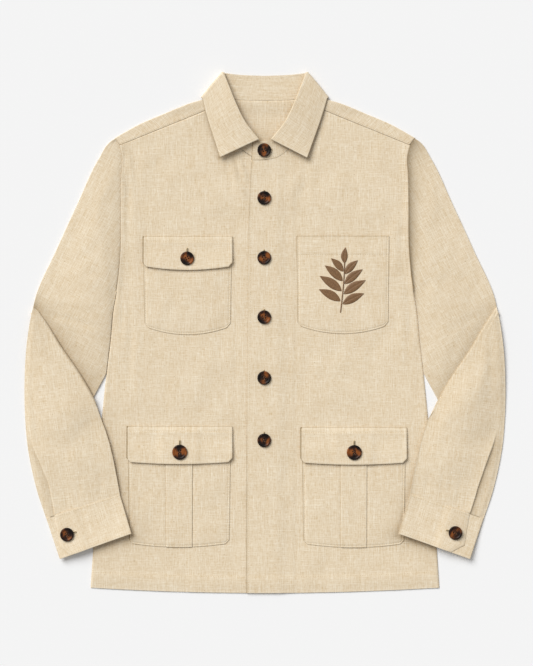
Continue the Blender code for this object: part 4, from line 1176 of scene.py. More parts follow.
def flap_lift(x, y_below_top, x_mid, pleat):
    """Outer face of a flap above its front: sewn down at the top, over the pocket, over a pleat below."""
    lift = GAP + TWO_PLY + (GAP + PLY) * step(y_below_top / FLAP_TOP_RAMP)
    if pleat:
        over = step((pleat / 2 + 16.0 - np.abs(x - x_mid)) / 12.0)
        lift = lift + PLEAT_RISE * over * step(y_below_top / FLAP_TOP_RAMP)
    return lift


def flap_face(x, below, y_top, x_mid, pleat):
    """Outer face of a flap before its edges: the front's height, the lift, and a lip that stands off."""
    stand_off = 2.0 * step((below - 12.0) / 34.0)
    return front_z(x, y_top - below, x_mid > 0) + flap_lift(x, below, x_mid, pleat) + stand_off


def sew_flap(name, x_mid, y_top, width, drop, corner, bow, pleat):
    """Two-ply flap with its lower corners cut off."""
    cut = corner / width
    corner_steps = np.linspace(0, cut, 5)[1:]
    columns = np.concatenate([edged(74, width), [cut, 1 - cut], corner_steps, 1 - corner_steps])
    columns = np.unique(np.round(columns, 6))
    stitch_steps = FLAP_STITCH + np.array([-1.6, -0.8, 0.0, 0.8, 1.6])
    rows = np.unique(np.round(np.concatenate([edged(30, drop), stitch_steps / drop]), 6))[:, None]
    lower = drop + (corner + bow * (1 - (2 * columns - 1) ** 2)) * corner_cut(columns, width, corner)
    x = x_mid + (columns[None] - 0.5) * width + 0 * rows
    below = rows * lower[None]
    beside = np.minimum(columns, 1 - columns)[None] * width + 0 * rows
    away = np.minimum(np.minimum(beside, lower[None] - below), below)
    shadowed = np.minimum((1 - columns)[None] * width + 0 * rows, lower[None] - below)
    z = flap_face(x, below, y_top, x_mid, pleat) - roll(shadowed)
    z = z - 0.28 * bell(below - FLAP_STITCH, 0.8) + 0.3 * bell(away - 2.6, 2.0)
    z = z + 0.6 * ripple(x, y_top - below, SEEDS["flap"] + int(x_mid) % 5) * step(away / 8.0)
    grid = np.stack([x, y_top - below, z], axis=-1)
    # Edges worn pale and partly a painted highlight, fading at the lower edge; a painted shade line along
    # the top edge and the left edge.
    wear_and_shading = bell(away - 1.8, 0.9)
    painted_edge_shade = 0.7 * (1 - step((below - 0.7) / 0.7)) + 1.6 * (1 - step((columns[None] * width - 1.5) / 0.7))
    wear_and_shading = wear_and_shading * step((lower[None] - below) / 1.0 + 0.2) - painted_edge_shade
    sew_sheet(name + "_cloth", [grid], [grid[..., :2]], TWO_WALL, flip=True, wear_and_shading_parts=[wear_and_shading])
    return grid


STITCH_LONG = 2.7
STITCH_PITCH = 3.5
STITCH_HALF = 0.3
STITCH_SINK = 0.12


def inset_line(grid, edge, inset):
    """Line on a grid at a distance in from one edge, worked out along each row or column from that edge."""
    lines = {"first": grid, "last": grid[:, ::-1], "low": grid.swapaxes(0, 1),
             "high": grid.swapaxes(0, 1)[:, ::-1]}[edge]
    run = np.linalg.norm(np.diff(lines[..., :2], axis=1), axis=-1)
    length = np.concatenate([np.zeros((len(lines), 1)), np.cumsum(run, axis=1)], axis=1)
    i = np.clip((length <= inset).sum(axis=1) - 1, 0, lines.shape[1] - 2)
    row = np.arange(len(lines))
    share = ((inset - length[row, i]) / np.maximum(length[row, i + 1] - length[row, i], 1e-6))[:, None]
    return lines[row, i] * (1 - share) + lines[row, i + 1] * share


def stitch_row(line):
    """Stitches along a line as stretched octahedra: corners (stitch, corner, xyz)."""
    length = arc_length(line)
    count = max(int(length[-1] / STITCH_PITCH), 1)
    middle = (np.arange(count) + 0.5) * length[-1] / count

    def at(distance):
        """Points at distances along the line."""
        return np.stack([np.interp(distance, length, column) for column in line.T], axis=1)

    begin, end = at(middle - STITCH_LONG / 2), at(middle + STITCH_LONG / 2)
    centre = 0.5 * (begin + end)
    aside = level_aside(end - begin) * STITCH_HALF
    lift, sink = UP * STITCH_HALF, UP * STITCH_SINK
    return np.stack([begin - sink, centre + aside, end - sink, centre - aside,
                     centre + lift, centre - lift], axis=1)


OCTAHEDRON = np.array([(4, 1, 0), (4, 2, 1), (4, 3, 2), (4, 0, 3),
                       (5, 0, 1), (5, 1, 2), (5, 2, 3), (5, 3, 0)])


def sew_stitches(name, rows, carrier):
    """All the stitches of a group of pieces as one mesh, named with the sheet that carries them."""
    corners = np.concatenate(rows)
    faces = (OCTAHEDRON[None] + 6 * np.arange(len(corners))[:, None, None]).reshape(-1, 3)
    mesh = bpy.data.meshes.new(name)
    mesh.from_pydata((corners.reshape(-1, 3) * MM).tolist(), [], faces.tolist())
    made = link_mesh(mesh, sewing_thread())
    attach(made, "root")
    trimmings.setdefault(carrier, []).append(made)


def button_seat(x, y, on):
    """Height of the cloth that a button is sewn to."""
    x, y = np.array(float(x)), np.array(float(y))
    if on == "stand":
        return STAND_LAP[1][5]
    if on == "front":
        return front_z(x, y, True)
    if on == "cuff":
        under = body_rest_z(np.abs(x) - BUTTON_REACH, y)
        return under + 3 * TWO_PLY + 2 * GAP + cuff_lift(CUFF_BUTTON_DEPTH)
    name = "chest_flap" if on == "flap" else ("hip_flap_left" if x > 0 else "hip_flap_right")
    _, x_mid, y_top, _, _, _, _, pleat = next(row for row in FLAPS if row[0] == name)
    return flap_face(x, y_top - y, y_top, x_mid, pleat)


# Rings below a button's rim: share of its radius, height
BUTTON_RINGS = ((1.0, 1.5), (0.998, 1.0), (0.97, 0.45), (0.9, 0.1), (0.82, 0.0), (0.4, 0.0), (0.0, 0.0))
BUTTON_CELLS = 46
# Radii along each near-black cord laid down in a button's hole as painted shade
HOLE_SHADE_RADII = np.array([0.1, 0.8, 0.95, 0.8, 0.1])
HOLE_FROM_MIDDLE = 1.75
HOLE_RADIUS = 1.05
HOLE_DEPTH = 2.0


def make_button(name, x, y, diameter, on, turn):
    """Turned four-hole button: a disc grid whose height is a rim, a dished middle and four sunk holes.

    The disc comes from a square grid drawn into a circle; rings below close the rim and the underside.
    The band attribute is the cosine of twice the angle from the button's amber band, stronger away
    from the middle, with a fall toward the rim."""
    r = diameter / 2
    side = 2 * even(BUTTON_CELLS + 1) - 1
    a, b = np.meshgrid(side, side)
    disc = np.stack([a * np.sqrt(1 - b * b / 2), b * np.sqrt(1 - a * a / 2)], axis=-1) * r
    reach = np.linalg.norm(disc, axis=-1)
    height = BUTTON_RISE - 0.95 * np.clip((reach - r + 1.1) / 1.1, 0.0, 1.0) ** 2
    height = height - 0.85 * step((r - 2.3 - reach) / 1.5) + 0.12 * step((r - 4.4 - reach) / 2.0)
    spin = math.radians(turn)
    quarter = spin * 0.1 + math.pi * (0.25 + 0.5 * np.arange(4))
    for angle in quarter:
        hole = disc - HOLE_FROM_MIDDLE * math.sqrt(2) * np.array([math.cos(angle), math.sin(angle)])
        height = height - HOLE_DEPTH * step((HOLE_RADIUS - np.linalg.norm(hole, axis=-1)) / 0.35)
    seat = float(button_seat(x, y, on)) + GAP
    face = with_z(disc, height) + np.array([x, y, seat])
    ring = np.concatenate([face[0, :-1], face[:-1, -1], face[-1, :0:-1], face[:0:-1, 0]])
    ring = np.concatenate([ring, ring[:1]])
    middle = np.array([x, y, 0.0])
    sides = [ring]
    for shrink, z in BUTTON_RINGS:
        level = middle + (ring - middle) * [shrink, shrink, 0.0]
        sides.append(level + np.array([0.0, 0.0, seat + z]))
    sides = np.stack(sides)
    points, quads = joined([face, sides])
    quads[BUTTON_CELLS**2:] = quads[BUTTON_CELLS**2:, ::-1].copy()
    made = closed_object(name + "_turned", points, quads, tortoise_resin())
    mesh = made.data
    place = np.empty(3 * len(mesh.vertices))
    mesh.vertices.foreach_get("co", place)
    aside, ahead = place[0::3] / MM - x, place[1::3] / MM - y
    out = np.hypot(aside, ahead) / r
    band = np.cos(2 * (np.arctan2(ahead, aside) - math.radians(BUTTON_BANDS[name])))
    tone = 0.11 * band * np.clip(1.4 * out, 0.0, 1.0) + 0.06 - 0.12 * np.clip((out - 0.3) / 0.7, 0.0, 1.0)
    mesh.attributes.new("band", "FLOAT", "POINT").data.foreach_set("value", tone)
    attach(made, "root")
    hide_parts(name)
    return seat, quarter


def closed_object(name, points, quads, material):
    """Mesh object with equal points merged and faces of fewer than three corners left out."""
    first, same = merged(points)
    faces = same[quads]
    differs = faces != np.roll(faces, 1, axis=1)
    count = differs.sum(axis=1)
    kept = faces[count == 4].tolist()
    three = faces[count == 3]
    kept += three[differs[count == 3]].reshape(-1, 3).tolist()
    mesh = bpy.data.meshes.new(name)
    mesh.from_pydata((points[first] * MM).tolist(), [], kept)
    mesh.polygons.foreach_set("use_smooth", np.ones(len(mesh.polygons), bool))
    return link_mesh(mesh, material)


def trimming(name, grids, material):
    """Thread work as one piece: the grids joined, their faces turned outward."""
    points, quads = joined(grids)
    made = closed_object(name, points, quads[:, ::-1], material)
    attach(made, "root")


# Buttonholes: button, way it runs from the button (x, y), how far it shows beyond the rim
BUTTONHOLES = (
    ("button_front_2", (0.0, 1.0), 1.8),
    ("button_front_3", (0.0, 1.0), 1.8),
    ("button_front_4", (0.0, 1.0), 1.8),
    ("button_front_5", (0.0, 1.0), 1.8),
    ("button_front_6", (0.0, 1.0), 2.4),
    ("button_chest", (0.0, 1.0), 5.2),
    ("button_hip_right", (0.0, 1.0), 6.6),
    ("button_hip_left", (0.0, 1.0), 6.6),
    ("button_cuff_right", (0.96, 0.28), 4.0),
    ("button_cuff_left", (-0.96, 0.28), 4.2),
    ("button_front_1", (1.0, 0.1), 1.6),
)


def tube(path, radius, turns=8):
    """Round cord along a path of points, its section turned square to the path in plan and upright."""
    aside = level_aside(np.gradient(path, axis=0))
    angle = 2 * math.pi * even(turns + 1)[None, :, None]
    return path[:, None] + radius * (np.cos(angle) * aside[:, None] + np.sin(angle) * UP)


def work_buttonholes(seats):
    """Worked buttonholes: a bar of close twist each side of the cut, with a near-black cord in the cut as
    its painted shade.
    """
    bars, cut_shade_cords = [], []
    for name, way, beyond in BUTTONHOLES:
        _, x, y, diameter, _, _ = next(row for row in BUTTONS if row[0] == name)
        way = unit(way)
        aside = np.array([-way[1], way[0]])
        start, end = diameter / 2 - 6.0, diameter / 2 + beyond
        z = seats[name] - GAP + 0.1
        t = 2 * math.pi * even(41)[:, None]
        out = np.clip(0.5 * (start + end) + 0.62 * (end - start) * np.cos(t), start, end)
        plan = np.array([x, y]) + way * out + aside * 1.0 * np.sin(t)
        bars.append(tube(with_z(plan, z), 0.55))
        line = np.array([x, y]) + way * (start + (end - 0.7 - start) * even(8)[:, None])
        # Near-black cord along the cut: painted shade.
        cut_shade_cords.append(tube(with_z(line, z + 0.15), 0.4))
    trimming("buttonhole_bars", bars, sewing_thread())
    trimming("buttonhole_cut_shade", cut_shade_cords, hole_shade_material())


def wind_button_threads(placed):
    """Two bars of thread between each button's holes, and near-black cords down in the holes as their
    painted shade.
    """
    reach = HOLE_FROM_MIDDLE * math.sqrt(2)
    bars, hole_shade_cords = [], []
    for (_, x, y, *_), seat, quarter in placed:
        corner = np.array([[x, y]]) + reach * np.stack([np.cos(quarter), np.sin(quarter)], axis=1)
        for a, b in ((0, 1), (3, 2)):
            share = np.linspace(0.22, 0.78, 9)[:, None]
            plan = corner[a] * (1 - share) + corner[b] * share
            z = seat + BUTTON_RISE - 1.5 + 0.95 * np.sin(math.pi * share[:, 0]) ** 0.5
            bars.append(tube(with_z(plan, z), 0.26))
        for hole in corner:
            # Near-black cords down in each hole: painted shade.
            plan = hole + np.array([0.0, 0.5]) * np.linspace(-1.0, 1.0, 5)[:, None]
            hole_shade_cords.append(tube(with_z(plan, seat + BUTTON_RISE - 1.7), HOLE_SHADE_RADII[:, None, None]))
    trimming("button_threads", bars, button_thread())
    trimming("button_hole_shade", hole_shade_cords, hole_shade_material())


# Embroidered sprig on the plain chest pocket: centre x, y of the stem's foot, its length
SPRIG_FOOT = (113.0, 30.0)
SPRIG_LONG = 74.0
# Leaves: place along the stem, side, length, width, angle from the stem in degrees
SPRIG_LEAVES = (
    (0.16, 1, 36.0, 13.0, 64.0), (0.22, -1, 37.0, 13.0, 62.0), (0.36, 1, 39.0, 13.5, 58.0),
    (0.42, -1, 40.0, 13.5, 56.0), (0.56, 1, 35.0, 12.5, 51.0), (0.62, -1, 35.5, 12.5, 49.0),
    (0.76, 1, 28.0, 11.0, 43.0), (0.81, -1, 27.0, 10.5, 43.0), (0.97, 1, 24.0, 10.0, 4.0),
)


def embroider_sprig(surface):
    """Satin-stitched sprig: each leaf a lens of raised ribs either side of a midrib, on a bent stem."""
    share = even(60)
    stem = np.stack([SPRIG_FOOT[0] + 6.0 * np.sin(1.5 * share), SPRIG_FOOT[1] + SPRIG_LONG * share], axis=1)
    parts = [tube(with_z(stem, surface(stem[:, 0], stem[:, 1]) + 0.35), 0.85)]
    for at, side, long, wide, angle in SPRIG_LEAVES:
        foot = np.array([np.interp(at, share, stem[:, 0]), np.interp(at, share, stem[:, 1])])
        turn = math.radians(90.0 - side * angle)
        ahead = np.array([math.cos(turn), math.sin(turn)])
        aside = np.array([-ahead[1], ahead[0]])
        u, v = even(40)[:, None], np.linspace(-1.0, 1.0, 13)[None]
        half = 0.5 * wide * np.sin(math.pi * np.clip(u, 0.0, 1.0) ** 0.85) ** 0.9
        bow = 2.4 * side * np.sin(math.pi * u) * 0.5
        plan = foot + (2.0 + long * u)[..., None] * ahead + (half * v + bow)[..., None] * aside
        ribs = 0.10 * np.sin(2 * math.pi * (long * u - 2.4 * np.abs(v)) / 1.6)
        z = surface(plan[..., 0], plan[..., 1]) + 0.12
        pile = 0.62 - 0.4 * bell(v * half, 0.55) + ribs
        z = z + pile * (1 - np.abs(v) ** 6) * (half > 0.05)
        top = with_z(plan, z)
        rim = with_z(plan, surface(plan[..., 0], plan[..., 1]) - 0.2)
        parts.append(np.concatenate([rim[:, :1], top, rim[:, -1:]], axis=1))
    trimming("pocket_sprig", parts, satin_floss())


def linear(hex_colour):
    """Linear RGBA of an sRGB hex colour."""
    parts = np.array([int(hex_colour.lstrip("#")[i:i + 2], 16) for i in (0, 2, 4)]) / 255.0
    parts = np.where(parts <= 0.04045, parts / 12.92, ((parts + 0.055) / 1.055) ** 2.4)
    return (*parts.tolist(), 1.0)


def add_node(tree, kind, settings=None, inputs=None):
    """Node of a kind with its settings and with its inputs set to values or linked from sockets."""
    node = tree.nodes.new(kind)
    for key, value in (settings or {}).items():
        setattr(node, key, value)
    for key, value in (inputs or {}).items():
        if isinstance(value, bpy.types.NodeSocket):
            tree.links.new(value, node.inputs[key])
        else:
            node.inputs[key].default_value = value
    return node


def math_node(tree, operation, first, second):
    """Output of a Math node on two values or sockets."""
    return add_node(tree, "ShaderNodeMath", {"operation": operation}, {0: first, 1: second}).outputs[0]


def new_material(name):
    """Empty node material, its tree and its surface shader, or None for the tree if it is there already."""
    if name in bpy.data.materials:
        return bpy.data.materials[name], None, None
    made = bpy.data.materials.new(name)
    made.use_nodes = True
    return made, made.node_tree, made.node_tree.nodes["Principled BSDF"]


def object_noise(tree, size, detail):
    """Noise over the object's own coordinates, its blotches about size millimetres across."""
    place = add_node(tree, "ShaderNodeTexCoord")
    return add_node(tree, "ShaderNodeTexNoise", inputs={
        "Vector": place.outputs["Object"], "Scale": 1 / (size * MM), "Detail": detail}).outputs["Fac"]


def ramp_colour(tree, value, stops):
    """Colour of a value by a ramp's stops: place and colour."""
    node = add_node(tree, "ShaderNodeValToRGB", inputs={"Fac": value})
    ramp = node.color_ramp
    while len(ramp.elements) < len(stops):
        ramp.elements.new(0.5)
    for element, (place, colour) in zip(ramp.elements, stops):
        element.position = place
        element.color = colour
    return node.outputs["Color"]


# Slubs and threads of the linen: width and length in millimetres, weight in the tone, and the
# noise value over which a scattered thread begins to show, or 0 where the noise is used whole.
# Real threads are about 0.5 mm apart; they are drawn near 1 mm so that they show in the render.
LINEN_STREAKS = (
    ("warp slubs", 1.2, 22.0, 0.46, 0.0),
    ("weft slubs", 22.0, 1.3, 0.34, 0.0),
    ("warp threads", 0.85, 7.0, 0.56, 0.0),
    ("weft threads", 6.0, 0.9, 0.48, 0.0),
    ("pale warp ends", 1.1, 60.0, 0.32, 0.54),
    ("pale weft picks", 45.0, 1.2, 0.24, 0.55),
    ("wash mottle", 30.0, 40.0, 0.14, 0.0),
)


def woven_linen():
    """Washed linen, plain woven of uneven flax yarn: matt, pale, crossed by thicker slubs both ways."""
    made, tree, shader = new_material("washed linen, plain woven")
    if tree is None:
        return made
    cloth = bpy.context.scene.jacket_cloth
    flat = add_node(tree, "ShaderNodeUVMap", {"uv_map": "weave"})
    tone, height = None, None
    for label, across, along, weight, begins in LINEN_STREAKS:
        place = add_node(tree, "ShaderNodeMapping", {"label": label}, {
            "Vector": flat.outputs["UV"], "Scale": (1 / (across * MM), 1 / (along * MM), 1.0)})
        noise = add_node(tree, "ShaderNodeTexNoise", {"noise_dimensions": "2D"}, {
            "Vector": place.outputs["Vector"], "Scale": 1.0, "Detail": 2.0, "Roughness": 0.55})
        centred = add_node(tree, "ShaderNodeMapRange", inputs={
            "Value": noise.outputs["Fac"], "From Min": begins, "From Max": begins + 0.16 if begins else 1.0,
            "To Min": -0.06 * weight if begins else -0.5 * weight, "To Max": 0.5 * weight})
        if tone is None:
            tone = centred.outputs[0]
        else:
            tone = math_node(tree, "ADD", tone, centred.outputs[0])
        if "mottle" not in label:
            height = tone
    tone = math_node(tree, "ADD", tone, 0.5)
    yarn = ramp_colour(tree, tone, (
        (0.08, linear(cloth.dark)), (0.5, linear(cloth.flax)), (0.92, linear(cloth.pale))))
    # The per-point attribute read here holds edge wear and painted shading: above zero it mixes the linen
    # toward the pale slub, for edges worn pale and partly a painted highlight; below zero it paints shade
    # along seams, creases and under overlapping parts.
    worn_and_painted = add_node(tree, "ShaderNodeAttribute", {"attribute_name": "wear_and_shading"})
    amount = math_node(tree, "MULTIPLY", worn_and_painted.outputs["Fac"], cloth.wear_and_shading)
    edge = add_node(tree, "ShaderNodeMix", {"data_type": "RGBA"}, {
        "Factor": amount, 6: yarn, 7: linear(cloth.pale)})
    # Painted shade: the linen multiplied by the shade colour as far as the attribute falls below zero.
    paint_shaded = math_node(tree, "MULTIPLY", worn_and_painted.outputs["Fac"], -cloth.seam)
    seam = add_node(tree, "ShaderNodeMix", {"data_type": "RGBA", "blend_type": "MULTIPLY"}, {
        "Factor": paint_shaded, 6: edge.outputs[2], 7: linear(cloth.painted_shade_colour)})
    speck_place = add_node(tree, "ShaderNodeMapping", inputs={
        "Vector": flat.outputs["UV"], "Scale": (1 / (15 * MM), 1 / (15 * MM), 1.0)})
    speck = add_node(tree, "ShaderNodeTexVoronoi", {"voronoi_dimensions": "2D"}, {
        "Vector": speck_place.outputs["Vector"], "Scale": 1.0})
    chosen = add_node(tree, "ShaderNodeSeparateColor", inputs={"Color": speck.outputs["Color"]})
    rare = math_node(tree, "GREATER_THAN", chosen.outputs["Red"], 0.9)
    close = add_node(tree, "ShaderNodeMapRange", inputs={
        "Value": speck.outputs["Distance"], "From Min": 0.025, "From Max": 0.07,
        "To Min": 0.5, "To Max": 0.0})
    nep = math_node(tree, "MULTIPLY", rare, close.outputs[0])
    colour = add_node(tree, "ShaderNodeMix", {"data_type": "RGBA"}, {
        "Factor": nep, 6: seam.outputs[2], 7: linear(cloth.nep)})
    bump = add_node(tree, "ShaderNodeBump", inputs={"Height": height, "Strength": 0.6, "Distance": 0.0003})
    rough = add_node(tree, "ShaderNodeMapRange", inputs={"Value": tone, "To Min": 0.96, "To Max": 0.84})
    tree.links.new(colour.outputs[2], shader.inputs["Base Color"])
    tree.links.new(rough.outputs[0], shader.inputs["Roughness"])
    tree.links.new(bump.outputs["Normal"], shader.inputs["Normal"])
    shader.inputs["Specular IOR Level"].default_value = 0.25
    shader.inputs["Sheen Weight"].default_value = 0.12
    shader.inputs["Sheen Roughness"].default_value = 0.5
    return made


def spun_thread(name, dark, pale):
    """Spun thread: two tones along a twist about a millimetre long, matt."""
    made, tree, shader = new_material(name)
    if tree is None:
        return made
    twist = object_noise(tree, 1.4, 2.0)
    colour = ramp_colour(tree, twist, ((0.3, linear(dark)), (0.7, linear(pale))))
    tree.links.new(colour, shader.inputs["Base Color"])
    shader.inputs["Roughness"].default_value = 0.8
    shader.inputs["Sheen Weight"].default_value = 0.1
    return made


def sewing_thread():
    """Thread of the seams and buttonholes, a shade darker than the linen so that its rows show."""
    cloth = bpy.context.scene.jacket_cloth
    return spun_thread("linen sewing thread, spun", cloth.thread_dark, cloth.thread)


def button_thread():
    """Thread across the buttons' holes, light brown so that it shows on the dark resin."""
    trim = bpy.context.scene.jacket_trim
    return spun_thread("button thread, spun", trim.bar_dark, trim.bar)


def hole_shade_material():
    """Near-black cord down in the buttons' holes and the buttonholes' cuts, a painted shade of the holes and
    cuts.
    """
    trim = bpy.context.scene.jacket_trim
    return spun_thread("button twist, painted_hole_shade", trim.hole_shade_dark, trim.twist)


def satin_floss():
    """Rayon embroidery floss laid in satin stitch: brown, with a low gloss along the threads."""
    made, tree, shader = new_material("embroidery floss, satin stitched")
    if tree is None:
        return made
    trim = bpy.context.scene.jacket_trim
    strands = object_noise(tree, 1.6, 3.0)
    colour = ramp_colour(tree, strands, ((0.3, linear(trim.floss_dark)), (0.7, linear(trim.floss))))
    tree.links.new(colour, shader.inputs["Base Color"])
    bump = add_node(tree, "ShaderNodeBump", inputs={"Height": strands, "Strength": 0.4, "Distance": 0.0002})
    tree.links.new(bump.outputs["Normal"], shader.inputs["Normal"])
    shader.inputs["Roughness"].default_value = 0.5
    shader.inputs["Sheen Weight"].default_value = 0.15
    return made


def tortoise_resin():
    """Polyester button resin, cast in dark and amber swirls, turned and tumbled to a soft polish.

    Each button's band attribute is added to the swirl, which puts its amber where the button has it."""
    made, tree, shader = new_material("button resin, cast and tumbled")
    if tree is None:
        return made
    trim = bpy.context.scene.jacket_trim
    place = add_node(tree, "ShaderNodeTexCoord")
    turned = add_node(tree, "ShaderNodeMapping", inputs={
        "Vector": place.outputs["Object"], "Rotation": (0.0, 0.0, math.radians(38.0)),
        "Scale": (1 / (8 * MM), 1 / (14 * MM), 1 / (9 * MM))})
    swirl = add_node(tree, "ShaderNodeTexNoise", inputs={
        "Vector": turned.outputs["Vector"], "Scale": 1.0, "Detail": 2.0, "Roughness": 0.5,
        "Distortion": 0.4})
    band = add_node(tree, "ShaderNodeAttribute", {"attribute_name": "band"})
    cast = add_node(tree, "ShaderNodeMapRange", inputs={
        "Value": swirl.outputs["Fac"], "To Min": 0.2, "To Max": 0.8})
    tone = math_node(tree, "ADD", cast.outputs[0], band.outputs["Fac"])
    colour = ramp_colour(tree, tone, (
        (0.40, linear(trim.horn_dark)), (0.51, linear(trim.horn)), (0.63, linear(trim.horn_amber))))
    tree.links.new(colour, shader.inputs["Base Color"])
    scuff = object_noise(tree, 0.8, 2.0)
    rough = add_node(tree, "ShaderNodeMapRange", inputs={"Value": scuff, "To Min": 0.32, "To Max": 0.5})
    tree.links.new(rough.outputs[0], shader.inputs["Roughness"])
    shader.inputs["IOR"].default_value = 1.55
    shader.inputs["Specular IOR Level"].default_value = 0.15
    shader.inputs["Coat Weight"].default_value = 0.06
    shader.inputs["Coat Roughness"].default_value = 0.2
    return made


def paper_sweep():
    """Seamless background paper, matt and near white, with the faintest tooth."""
    made, tree, shader = new_material("background paper, matt")
    if tree is None:
        return made
    stage = bpy.context.scene.jacket_stage
    paper = linear(stage.paper)
    shade = tuple(0.985 * c for c in paper[:3]) + (1.0,)
    colour = ramp_colour(tree, object_noise(tree, 3.0, 2.0), ((0.0, shade), (1.0, paper)))
    tree.links.new(colour, shader.inputs["Base Color"])
    shader.inputs["Roughness"].default_value = 1.0
    shader.inputs["Specular IOR Level"].default_value = 0.0
    return made


def colour_property(name, what, default):
    """Colour as a settable sRGB hex."""
    return StringProperty(name=name, description=what + ", sRGB hex", default=default)


class JacketCloth(bpy.types.PropertyGroup):
    """Colours of the linen and its sewing thread, and the strengths of its worn, partly highlighted edges
    and of its painted shade.
    """

    flax: colour_property("Flax", "Middle tone of the linen", "#E4D2B5")
    pale: colour_property("Pale slub", "Palest thread of the linen", "#F6EBD5")
    dark: colour_property("Dark slub", "Darkest thread of the linen", "#CDB287")
    nep: colour_property("Nep", "Small dark flecks of the flax", "#A58A60")
    # Colour multiplied into the linen for painted shade along seams, creases and under overlapping parts.
    painted_shade_colour: colour_property("Press", "Share of light that pressed seams give back", "#A79A82")
    thread: colour_property("Thread", "Light tone of the sewing thread", "#D8C49E")
    thread_dark: colour_property("Thread shade", "Dark tone of the thread", "#B79F76")
    # How far pale edges go toward the pale slub: edges worn pale and partly a painted highlight.
    wear_and_shading: FloatProperty(name="Edge wear", description="How far worn edges go toward the pale slub",
                        default=0.25, min=0.0, max=1.0, subtype="FACTOR")
    # How far the painted shade darkens the linen along seams, creases and under overlapping parts.
    seam: FloatProperty(name="Seam shade", description="How far pressed seams are darkened",
                        default=0.68, min=0.0, max=1.0, subtype="FACTOR")


class JacketTrim(bpy.types.PropertyGroup):
    """Colours of the buttons, their thread, the near-black cords painting the shade of their holes and cuts,
    and the embroidery.
    """

    horn: colour_property("Resin", "Middle tone of the buttons", "#3A2114")
    horn_dark: colour_property("Resin shade", "Darkest swirl", "#150D0A")
    horn_amber: colour_property("Resin amber", "Lightest swirl", "#8A4E22")
    # Twist: tones of the near-black cords that paint the shade in the buttons' holes and the buttonholes'
    # cuts.
    twist: colour_property("Twist", "Light tone of the button twist", "#2A1A10")
    hole_shade_dark: colour_property("Twist shade", "Dark tone of the twist", "#120B07")
    bar: colour_property("Bar", "Light tone of the button thread", "#A87F50")
    bar_dark: colour_property("Bar shade", "Dark tone of the button thread", "#6E4A2C")
    floss: colour_property("Floss", "Light tone of the embroidery", "#8A6640")
    floss_dark: colour_property("Floss shade", "Dark tone of the embroidery", "#694A2C")


class JacketStage(bpy.types.PropertyGroup):
    """Paper, light and camera."""

    paper: colour_property("Paper", "Background paper", "#F5F5F5")
    key: FloatProperty(name="Key", description="Strength of the soft key light", default=2.95, min=0.0)
    key_turn: FloatProperty(name="Key turn", default=math.radians(130.0), subtype="ANGLE",
                            description="Way the key light comes from, round from the right")
    key_rise: FloatProperty(name="Key rise", description="Height of the key light above the table",
                            default=math.radians(43.0), subtype="ANGLE")
    key_soft: FloatProperty(name="Key softness", description="Width of the key light as seen from the table",
                            default=math.radians(40.0), subtype="ANGLE")
    fill: FloatProperty(name="Fill", description="Strength of the white room", default=0.36, min=0.0)
    reach: FloatProperty(name="Camera height", description="Height of the camera over the table",
                         default=3.0, unit="LENGTH")
    frame_long: FloatProperty(name="Frame", description="Long side of what the camera takes in",
                              default=0.999, unit="LENGTH")
    aim: FloatVectorProperty(name="Aim", description="Point on the table under the camera", size=2,
                             default=(0.00225, -0.00075), unit="LENGTH")


class JACKET_OT_body(bpy.types.Operator):
    """Back, yoke and both fronts with their stitching"""

    bl_idname = "jacket.body"
    bl_label = "Sew Body"

    def execute(self, context):
        sew_back()
        yoke = sew_yoke()
        right = sew_front("front_right", -1, UNDER_EDGE, False)
        left = sew_front("front_left", 1, LAP_EDGE, True)
        # The slices of each line drop its ends, where other seams cross it
        rows = [stitch_row(inset_line(left, "first", 3.8)[3:-46])]
        for grid in (left, right):
            armhole = inset_line(grid, "last", 6.0)
            rows.append(stitch_row(armhole[armhole[:, 1] > 62.0][:-2]))
            rows.append(stitch_row(inset_line(grid, "low", 24.0)[4:-5]))
        for wrap in yoke[1:]:
            rows.append(stitch_row(inset_line(wrap, "high", 2.4)[1:-1]))
        sew_stitches("stitching_body", rows, "front_left_cloth")
        return {"FINISHED"}


class JACKET_OT_collar(bpy.types.Operator):
    """Collar stand and leaf"""

    bl_idname = "jacket.collar"
    bl_label = "Sew Collar"

    def execute(self, context):
        stand = sew_stand()
        sew_leaf()
        seam = inset_line(stand, "first", 2.4)
        sew_stitches("stitching_collar", [stitch_row(seam[2:60])], "collar_stand_cloth")
        return {"FINISHED"}


class JACKET_OT_sleeves(bpy.types.Operator):
    """Both sleeves, tucked at the elbow"""

    bl_idname = "jacket.sleeves"
    bl_label = "Sew Sleeves"

    def execute(self, context):
        sew_sleeve("sleeve_right", -1)
        sew_sleeve("sleeve_left", 1)
        return {"FINISHED"}


class JACKET_OT_cuffs(bpy.types.Operator):
    """Both cuffs with their lapping ends"""

    bl_idname = "jacket.cuffs"
    bl_label = "Sew Cuffs"

    def execute(self, context):
        for row in CUFF_TABS:
            grid = sew_cuff(*row)
            top = grid[-CUFF_TOP_ROWS:]
            rows = [stitch_row(inset_line(top, "first", 2.6)), stitch_row(inset_line(top, "last", 3.4))]
            sew_stitches("stitching_" + row[0], rows, row[0] + "_cloth")
        return {"FINISHED"}


